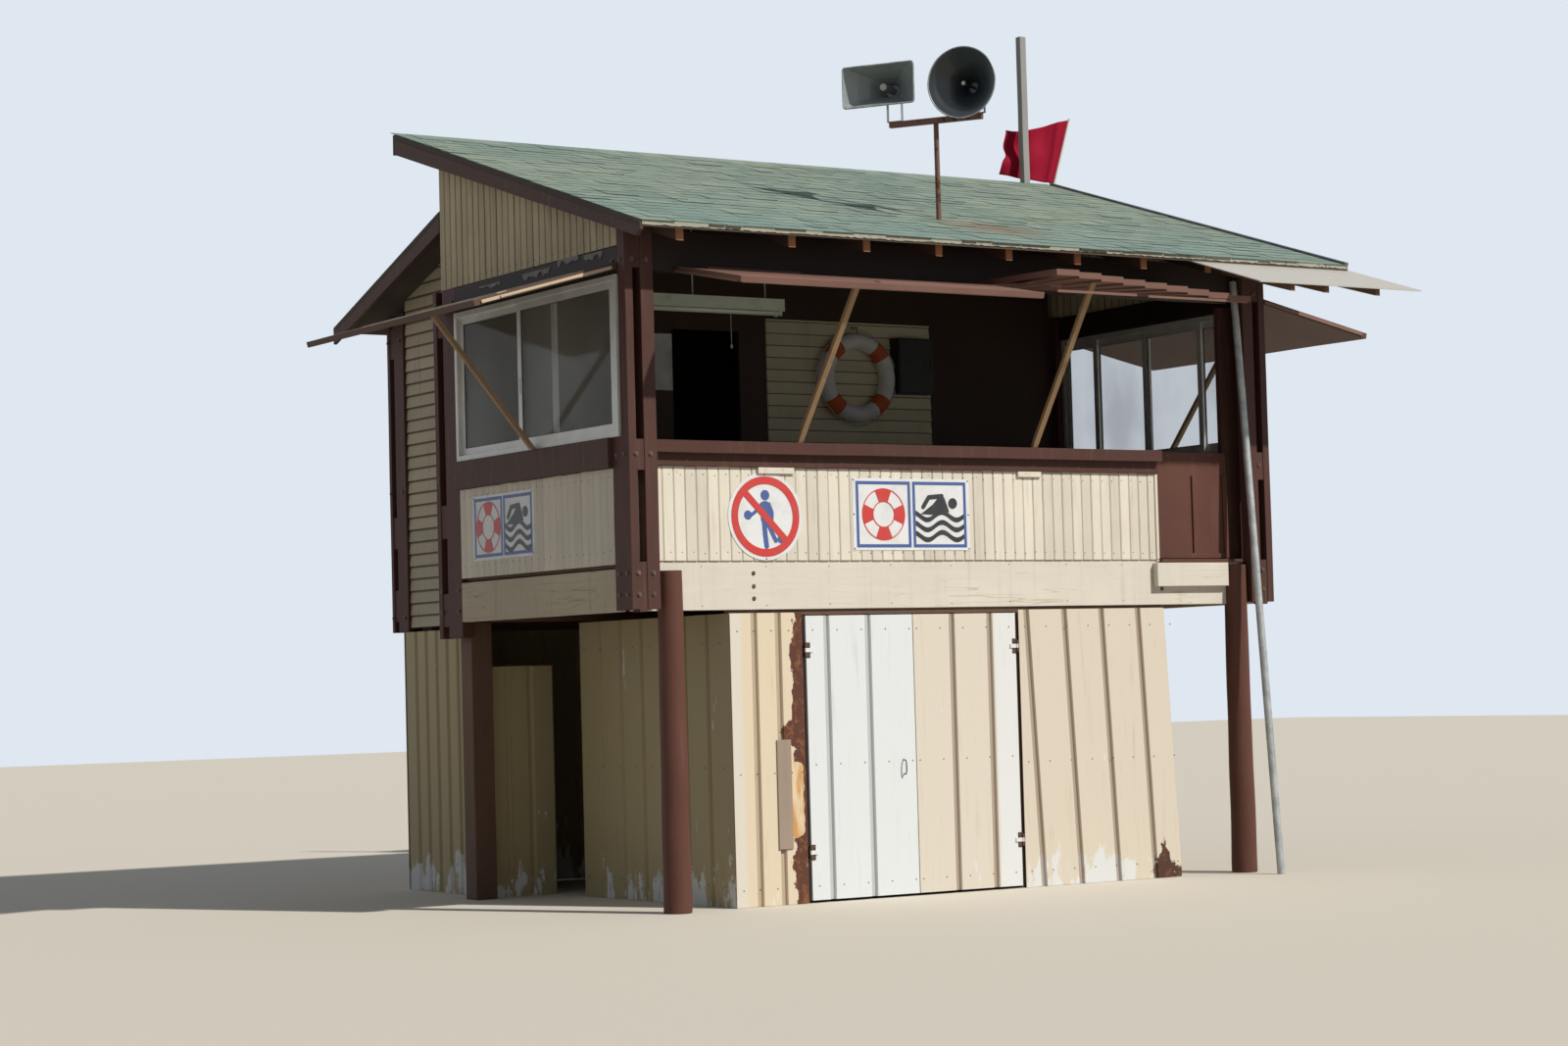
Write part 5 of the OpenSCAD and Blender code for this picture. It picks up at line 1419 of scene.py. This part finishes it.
flap_strips("front_flap_edge",
            [((0.13, -0.897, 4.553), (2.74, -0.888, 4.576)), ((0.108, -0.86, 4.555), (0.115, 0, 4.578)),
             ((0.30, -0.15, 4.600), (1.10, -0.05, 4.612)), ((1.35, -0.80, 4.600), (2.60, -0.72, 4.609))],
            (0, 0, HINGE_Z), "X", 11.5, front_edge)
flap_strips("right_flap_edge",
            [((2.80, -0.996, 4.560), (3.55, -0.990, 4.580)), ((3.66, -0.996, 4.556), (4.64, -0.990, 4.574)),
             ((2.80, -0.90, 4.600), (2.90, -0.1, 4.614))],
            (0, 0, HINGE_Z), "X", 8.5, front_edge)
flap_strips("left_flap_edge",
            [((-1.50, -0.012, 4.566), (-0.42, 0.0, 4.590)), ((-1.35, -0.024, 4.570), (-0.70, -0.012, 4.586)),
             ((-1.545, 0.05, 4.570), (-1.537, 2.7, 4.590)),
             ((-1.20, 0.3, 4.6), (-1.12, 2.5, 4.609)), ((-0.62, 0.2, 4.6), (-0.52, 2.6, 4.609))],
            (LEFT_FACE, 0, HINGE_Z), "Y", -15.5, pale_edge)
flap_strips("far_flap_edge",
            [((5.64, -0.060, 4.566), (6.72, -0.050, 4.590)), ((6.0, 0.1, 4.6), (6.08, 2.6, 4.609))],
            (RIGHT_FACE, 0, HINGE_Z), "Y", 12.0, front_edge)

# %% [markdown]
# ## Signs
# Enamelled plates with pictograms that are drawn here from circles, bars and waves: a ring, a
# swimmer over waves and a prohibition roundel. There is no lettering. Each colour is a thin
# layer on top of the white plate, so the edges stay crisp at any size.

# %% Sign helpers
SIGN_SEAT, SIGN_STEP = 0.0015, 0.0012


def sign_layers(name, place, layers):
    """Plate and colours, each a thin layer above the one before."""
    for index, (outlines, material) in enumerate(layers):
        near = SIGN_SEAT + index * SIGN_STEP
        piece = pressed(f"{name}_layer_{index}", outlines, place, 0.0 if index == 0 else near, near + 0.0008, material)
        settle(piece)


def frame_of(cx, cy, half, width):
    """Four bars round a square."""
    inner = half - width
    return [[(cx - half, cy + inner), (cx + half, cy + inner), (cx + half, cy + half), (cx - half, cy + half)],
            [(cx - half, cy - half), (cx + half, cy - half), (cx + half, cy - inner), (cx - half, cy - inner)],
            [(cx - half, cy - inner), (cx - inner, cy - inner), (cx - inner, cy + inner), (cx - half, cy + inner)],
            [(cx + inner, cy - inner), (cx + half, cy - inner), (cx + half, cy + inner), (cx + inner, cy + inner)]]


def wave(cx, cy, half, swell, width):
    """A wavy stripe with its middle crest a little right of the centre."""
    steps = [-half + 2 * half * i / 48 for i in range(49)]
    line = [(cx + u, cy + swell * math.cos(2 * math.pi * (u - 0.02) / 0.27)) for u in steps]
    return [(u, v + width / 2) for u, v in line] + [(u, v - width / 2) for u, v in line[::-1]]


print("each colour stands", SIGN_STEP, "m above the last")

# %% [markdown]
# The first sign is a roundel: a white disc with a walking figure in blue, a red ring and a red
# bar across it. The ring is two half bands, so that no outline closes on itself.

# %% Roundel
ring_place = front_at(0.820, -0.0015, 2.808)
figure = [circle(0.0, 0.155, 0.038, 24), circle(-0.150, 0.010, 0.034, 24), circle(0.128, -0.165, 0.030, 24)]
figure += stroke([(0.0, 0.070), (0.004, -0.020)], 0.088)
figure += stroke([(-0.030, 0.092), (-0.078, 0.040), (-0.118, 0.012)], 0.026)
figure += stroke([(0.034, 0.092), (0.060, 0.030), (0.056, -0.030)], 0.024)
figure += stroke([(-0.012, -0.050), (-0.006, -0.130), (0.004, -0.215)], 0.040)
figure += stroke([(0.018, -0.050), (0.052, -0.115), (0.084, -0.175)], 0.034)
BAR_REACH, slant = 0.24, math.radians(-45)
bar = stroke([(BAR_REACH * math.cos(a), BAR_REACH * math.sin(a)) for a in (slant + math.pi, slant)], 0.052)
red_ring = [arc_band(0, 0, 0.235, 0.292, a, a + math.pi, 24) for a in (0, math.pi)]
sign_layers("roundel", ring_place, [([circle(0, 0, 0.318, 64)], sign_white), (figure, sign_blue),
                                    (red_ring + bar, sign_red)])
print("roundel outlines:", len(figure) + len(red_ring) + len(bar) + 1)

# %% [markdown]
# The other two signs are the same pair of squares, a lifebuoy and a swimmer. One hangs on the
# front and a slightly smaller one on the left side. Screws with worn heads hold all three.

# %% Pair signs
def pair_sign(name, place, half):
    """Two square pictograms side by side: a lifebuoy and a swimmer."""
    edge = 2 * half + 0.022
    plate = [[(-edge, -half - 0.012), (edge, -half - 0.012), (edge, half + 0.012), (-edge, half + 0.012)]]
    borders = frame_of(-half, 0, half - 0.010, 0.024) + frame_of(half, 0, half - 0.010, 0.024)
    reds = [arc_band(-half, 0, 0.096, 0.190, k * math.pi / 2 - 0.40, k * math.pi / 2 + 0.40, 10) for k in range(4)]
    rims = [arc_band(-half, 0, r, r + 0.008, a, a + math.pi, 20) for r in (0.092, 0.186) for a in (0, math.pi)]
    blacks = [wave(half, v, half - 0.036, 0.028, 0.036) for v in (-0.010, -0.085, -0.160)]
    blacks += [circle(half + 0.122, 0.086, 0.040, 24)]
    blacks += stroke([(half - 0.150, 0.058), (half - 0.098, 0.130), (half + 0.022, 0.140)], 0.034)
    blacks += [[(half - 0.175, 0.004), (half - 0.060, 0.078), (half + 0.010, 0.150), (half + 0.045, 0.128),
                (half + 0.088, 0.020), (half + 0.020, 0.026), (half - 0.070, 0.000)]]
    sign_layers(name, place, [(plate, sign_white), (borders, sign_blue), (reds + rims, sign_red),
                              (blacks, sign_black)])


pair_sign("front_pair", front_at(2.118, -0.0015, 2.83), 0.256)
pair_sign("side_pair", left_at(-0.3665, 1.80, 2.84), 0.235)
corner_screws = [((2.118 + u, -0.0035, 2.83 + v), FRONT) for u in (-0.522, 0.522) for v in (-0.255, 0.0, 0.255)]
corner_screws += [((0.820 + u, -0.0035, 2.808 + v), FRONT) for u, v in ((0, 0.306), (0, -0.306))]
corner_screws += [((-0.3685, 1.80 + u, 2.84 + v), LEFT) for u in (-0.465, 0.465) for v in (-0.23, 0.23)]
fixings("sign_screws", screw_head("screw", 0.007), corner_screws, steel_bolt)
print("sign screws:", len(corner_screws))

# %% [markdown]
# ## Store fittings
# The leaves are the same folded sheet as the walls. Their grooves run out at top and bottom,
# through the rails behind the sheet, so each leaf is a copy of its solid with its grooves cut on.

# %% Grooved leaves
GROOVE_W, RIB_D, PAST_END = 0.056, 0.022, 0.01


def grooved_leaf(node, spots, material, body):
    """A leaf whose grooves run out at its top and bottom. Spots are the grooves' middles along X."""
    low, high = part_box(node)
    leaf = link(node + "_sheet", nodes[node].data.copy(), material)
    wide, near, deep = GROOVE_W / 2 - 0.0006, FACE - 0.002, FACE + RIB_D - 0.0005
    for x in spots:
        groove = [(x - wide, near), (x + wide, near), (x + wide / 2, deep), (x - wide / 2, deep)]
        cutter = extruded("cutter", groove, high.z - low.z + 2 * PAST_END)
        cutter.data.transform(Matrix.Translation((0, 0, low.z - PAST_END)))
        cut = leaf.modifiers.new("groove", "BOOLEAN")
        cut.operation, cut.solver, cut.object = "DIFFERENCE", "EXACT", cutter
        bpy.context.view_layer.update()
        bake_modifiers(leaf)
        drop(cutter)
    for face in leaf.data.polygons:
        face.use_smooth = False
    leaf.data.materials.clear()
    leaf.data.materials.append(material)
    return settle(leaf, body, [node])


grooved_leaf("store_door_left", (1.332, 1.699), sheet_white, "door_left")
grooved_leaf("store_door_right", (2.465, 2.817), sheet_cream, "door_right")

# %% [markdown]
# The leaves hang on small plate hinges of iron gone to rust, and the left one has a pull. What
# is on a leaf rides with that leaf.

# %% Leaf fittings
def leaf_fittings(side, hinge_x, way, body):
    """Hinge plates and screws of a leaf. Way is +1 where the leaf lies right of its hinge."""
    plates = []
    for z in (0.365, 1.835):
        a, b = sorted((hinge_x + way * 0.001, hinge_x + way * 0.042))
        plates.append(((a, 0.0045, z - 0.056), (b, 0.0095, z + 0.056)))
    settle(blocks(f"{side}_leaf_iron", plates, door_iron, 0.0015, 0, 0.0), body)
    screws = [((hinge_x + way * 0.030, 0.0045, z + up), FRONT) for z in (0.365, 1.835) for up in (-0.04, 0.04)]
    screws += [((hinge_x + way * (0.07 + 0.215 * i), 0.0105, z), FRONT) for z in (0.12, 1.0, 1.98) for i in range(5)]
    fixings(f"{side}_leaf_screws", screw_head("screw", 0.006), screws, steel_bolt, body)


leaf_fittings("left", 1.141, 1, "door_left")
leaf_fittings("right", 3.069, -1, "door_right")
PULL_AT = 1.985
arch = [(PULL_AT, y, z) for y, z in ((0.012, 0.90), (-0.022, 0.905), (-0.030, 0.93), (-0.030, 0.98),
                                     (-0.022, 1.005), (0.012, 1.01))]
settle(tube("left_pull", [arch], 0.005, door_iron, 8), "door_left")

# %% [markdown]
# Rows of screws fasten the sheets to their frame, and a grey plank has been nailed over the
# worst of the panel beside the leaves.

# %% Panel screws and plank
panel_screws = [((x, 0.0105, z), FRONT) for x in (0.56, 0.70, 0.85, 1.0, 1.09) for z in (0.12, 0.95, 1.98)]
panel_screws += [((3.15 + 0.205 * i, 0.0105, z), FRONT) for i in range(8) for z in (0.12, 0.95, 1.98)]
panel_screws += [((0.4995, 0.15 + 0.25 * i, z), LEFT) for i in range(9) for z in (0.15, 1.0, 1.9)]
fixings("panel_screws", screw_head("screw", 0.006), panel_screws, steel_bolt)
plank = [((0.868, -0.002, 0.40), (0.990, 0.0095, 1.19))]
settle(blocks("patch_plank", plank, grey_plank, 0.002, 0.15, 0.0012))
print("panel screws:", len(panel_screws))

# %% [markdown]
# ## In the room
# A foam lifebuoy with orange bands and a grab line hangs on a hook. Like the lamp, the cabinet
# and the board it is seen in half shade through the open front, so the outlines matter more
# than the finish.

# %% Lifebuoy
BUOY = Vector((3.389, 2.5307, 4.135))
BUOY_R, FOAM_R = 0.307, 0.069


def buoy_part(name, radius, start, end, steps, closed, material):
    """Part of a ring that stands upright on the wall."""
    span = (end - start) / (steps if closed else steps - 1)
    path = [BUOY + Vector((math.cos(start + span * i), 0, math.sin(start + span * i))) * BUOY_R for i in range(steps)]
    return tube(name, [path], radius, material, 24, closed)


settle(buoy_part("buoy_ring", FOAM_R, 0, 2 * math.pi, 64, True, foam_white),
       stands_for=["lifebuoy"])
for k in range(4):
    middle = math.pi / 4 + k * math.pi / 2
    settle(buoy_part(f"buoy_band_{k}", FOAM_R + 0.0025, middle - 0.20, middle + 0.20, 9, False, band_orange))
line = []
for i in range(96):
    a = 2 * math.pi * i / 96
    slack = abs(math.sin(2 * (a - math.pi / 4)))
    out = Vector((math.cos(a), 0, math.sin(a))) * (BUOY_R + FOAM_R + 0.006 + 0.020 * slack)
    line.append(BUOY + out + Vector((0, -0.004, 0)))
settle(tube("buoy_line", [line], 0.0055, rope, 8, True))
hook = [BUOY + Vector((0, 0.065, FOAM_R + BUOY_R + 0.05)), BUOY + Vector((0, -0.02, BUOY_R + FOAM_R + 0.045)),
        BUOY + Vector((0, -0.03, BUOY_R + FOAM_R + 0.02)), BUOY + Vector((0, 0.0, BUOY_R - FOAM_R + 0.02))]
settle(tube("buoy_hook", [hook], 0.005, steel_bolt, 8))
print("lifebuoy across:", round(2 * (BUOY_R + FOAM_R), 3), "m")

# %% [markdown]
# The lamp is a tray with two tubes in sockets. A limp pull cord with a turned bead hangs from
# its switch.

# %% Lamp
settle(tube("lamp_tubes", [[(0.43, y, 4.424), (1.59, y, 4.424)] for y in (0.93, 0.99)], 0.013, tube_glass_glow, 14))
sockets = [((x, y - 0.016, 4.404), (x + 0.022, y + 0.016, 4.442)) for x in (0.408, 1.590) for y in (0.93, 0.99)]
sockets += [((0.393, 0.898, 4.436), (0.402, 1.022, 4.532)), ((1.618, 0.898, 4.436), (1.627, 1.022, 4.532)),
            ((0.99, 0.952, 4.418), (1.03, 0.968, 4.441))]
settle(blocks("lamp_sockets", sockets, lamp_white, 0.002, 0, 0.0))


def turned(name, middle, profile, material, sides=16):
    """A small turned piece on an upright axis. Profile is (radius, height) from end to end."""
    bm = bmesh.new()
    skin(bm, [[bm.verts.new((middle[0] + u, middle[1] + v, z)) for u, v in circle(0, 0, radius, sides)]
              for radius, z in profile])
    bmesh.ops.recalc_face_normals(bm, faces=bm.faces)
    return mesh_piece(name, bm, material, smooth=True)


PULL_X, PULL_Y, PULL_TOP, PULL_LENGTH = 1.20, 1.0, 4.440, 0.27
pull_path = [(PULL_X, PULL_Y, PULL_TOP - PULL_LENGTH * i / 17) for i in range(18)]
pull = settle(tube("lamp_pull", [pull_path], 0.003, rope, 8))
pull_end = PULL_TOP - PULL_LENGTH
bead = [(0.004, 0.012), (0.007, 0.007), (0.0095, -0.008), (0.009, -0.016), (0.005, -0.022)]
bead = [(radius, pull_end + up) for radius, up in bead]
acorn = settle(turned("lamp_pull_acorn", (PULL_X, PULL_Y), bead, lamp_white))
print("lamp pull:", PULL_LENGTH, "m")

# %% [markdown]
# The small cabinet has a door with two hinges and a handle. The board is a frame with two blank
# papers.

# %% Cabinet and board
doors = [((3.783, 2.458, 4.018), (4.127, 2.471, 4.472)), ((4.095, 2.447, 4.22), (4.105, 2.459, 4.30))]
doors += [((3.786, 2.452, z), (3.80, 2.459, z + 0.06)) for z in (4.06, 4.37)]
settle(blocks("cabinet_door", doors, cabinet_grey, 0.003, 0, 0.0))
papers = [((1.405, 2.578, 3.985), (1.62, 2.586, 4.0)), ((1.405, 2.578, 4.43), (1.62, 2.586, 4.445)),
          ((1.405, 2.578, 4.0), (1.42, 2.586, 4.43)), ((1.605, 2.578, 4.0), (1.62, 2.586, 4.43)),
          ((1.44, 2.5825, 4.25), (1.585, 2.5845, 4.41)), ((1.45, 2.5825, 4.03), (1.575, 2.5845, 4.20))]
settle(blocks("board_frame", papers, board_white, 0.0008, 0, 0.0))
print("cabinet parts:", len(doors), "board parts:", len(papers))

# %% [markdown]
# ## Loudspeaker rims
# Both horns are pressed metal whose mouth is rolled over a wire, so a bright rim runs round the
# dark inside. The inner horn ends in a pale tip. The rims are tubes on a path that is drawn on
# the speakers' bar and turned with it.

# %% Loudspeaker rims
SPEAKER_TURN = math.radians(-57)
SPEAKER_AT = Vector((2.815, 0.5, 5.907))


def on_speaker(x, y, z):
    """A point given on the speakers' bar, which is turned about the pole."""
    return SPEAKER_AT + Matrix.Rotation(SPEAKER_TURN, 3, "Z") @ Vector((x, y, z))


rim_light = plain_metal("horn rim", (0.42, 0.44, 0.43), (0.26, 0.28, 0.27), 0.3, 0.45, 9.0, 0.2)
ROUND_AT, ROUND_MOUTH, ROUND_R = (0.345, 0.234), -0.332, 0.2725
rim = [on_speaker(ROUND_AT[0] + ROUND_R * math.cos(a), ROUND_MOUTH, ROUND_AT[1] + ROUND_R * math.sin(a))
       for a in (2 * math.pi * i / 72 for i in range(72))]
settle(tube("round_horn_rim", [rim], 0.006, rim_light, 8, True))
SQUARE_AT, SQUARE_MOUTH, HALF_W, HALF_H, CORNER = (-0.340, 0.282), -0.336, 0.295, 0.159, 0.022
outline = []
for cx, cz, start in ((1, 1, 0), (-1, 1, 90), (-1, -1, 180), (1, -1, 270)):
    for k in range(5):
        a = math.radians(start + k * 22.5)
        outline.append((cx * (HALF_W - CORNER) + CORNER * math.cos(a), cz * (HALF_H - CORNER) + CORNER * math.sin(a)))
rim = [on_speaker(SQUARE_AT[0] + u, SQUARE_MOUTH, SQUARE_AT[1] + v) for u, v in outline]
settle(tube("square_horn_rim", [rim], 0.007, rim_light, 8, True))
tip_paint = plain_coat("horn tip", (0.62, 0.62, 0.54), 0.5, 0.2, 20.0)
for label, at, tip_y, radius, slot in (("round", ROUND_AT, -0.2905, 0.0150, "horn_dark"),
                                       ("square", SQUARE_AT, -0.2308, 0.0275, "horn_grey")):
    cap = pressed(f"{label}_horn_tip", [circle(0, 0, radius, 24), circle(0, 0, radius * 0.45, 16)],
                  lambda u, v, d, at=at, tip_y=tip_y: on_speaker(at[0] + u, tip_y - d, at[1] + v),
                  0.0, 0.0015, tip_paint)
    settle(cap)
print("speakers stand at", [round(v, 3) for v in SPEAKER_AT])

# %% [markdown]
# ## Flag
# A plain red flag on a short leaning staff. The cloth is a grid between the staff and its fly
# edge, with folds that grow away from the staff. It has two sides and a hem.

# %% Flag
STAFF_FOOT = Vector((6.130, 3.3473, 5.8862))
FLAG_FRAME = Matrix.Rotation(math.radians(18), 3, "Y") @ Matrix.Rotation(math.radians(-14), 3, "Z")


def flag_point(u, v):
    """A point of the cloth: u from the staff to the fly edge, v from the lower to the upper edge."""
    hoist = Vector((-0.0125, 0, 0.188 + 0.627 * v))
    notch = 0.036 * math.exp(-((v - 0.46) / 0.13) ** 2)
    fly = Vector((-0.530 - 0.047 * v + notch, 0, 0.109 + 0.409 * v))
    point = hoist.lerp(fly, u)
    free = min(1.0, u * 3.0)
    folds = 0.5 + 0.5 * math.sin(9.0 * v + 2.6 * u) * u + 0.25 * math.sin(13.0 * u - 3.0 * v)
    pocket = 0.5 * math.exp(-((u - 0.10 - 0.05 * v) / 0.035) ** 2)
    point.y += 0.040 * folds * free - 0.022 * pocket
    point.z -= 0.034 * v ** 3 * math.sin(math.pi * u ** 1.6) * free
    return STAFF_FOOT + FLAG_FRAME @ point


def build_flag():
    across, up = 44, 36
    bm = bmesh.new()
    grid = [[bm.verts.new(flag_point(i / across, j / up)) for i in range(across + 1)] for j in range(up + 1)]
    for j in range(up):
        for i in range(across):
            bm.faces.new((grid[j][i], grid[j][i + 1], grid[j + 1][i + 1], grid[j + 1][i]))
    tall = sum((grid[j][across // 2].co - grid[j + 1][across // 2].co).length for j in range(up))
    area = sum(f.calc_area() for f in bm.faces)
    cloth = mesh_piece("flag_cloth", bm, flag_red, smooth=True)
    thick = cloth.modifiers.new("thickness", "SOLIDIFY")
    thick.thickness = 0.0012
    thick.offset = 0
    bake_modifiers(cloth)
    return cloth, tall, area


cloth, tall, area = build_flag()
settle(cloth, stands_for=["flag"])
print("flag cloth:", round(area / tall, 3), "by", round(tall, 3), "m")

# %% [markdown] ## Last finishes Solids that no piece stands for get their finish directly, and the
# rest a dark lining.

# %% Keep the boxes and finish
FINISHES = {
    "roof_front": felt, "roof_back": felt, "floor_deck": old_timber, "partition_wall": lining_dark_shade,
    "window_glass": glass, "store_panel_left": sheet_old,
    "store_door_left": sheet_white, "store_door_right": sheet_cream, "store_panel_right": sheet_right,
    "store_walls": sheet_wall_shade, "speaker_pole": pole_rust, "horn_square": horn_light, "horn_round": horn_dark,
    "flag_staff": staff_paint, "flag": flag_red, "leaning_pipe": galvanised, "lifebuoy": foam_white,
    "ceiling_lamp": lamp_white, "notice_board": board_white, "cabinet": cabinet_grey,
}
for label, node in nodes.items():
    node.data.materials.clear()
    node.data.materials.append(FINISHES.get(label, lining_dark_shade))
print("solids with a finish of their own:", len(FINISHES))
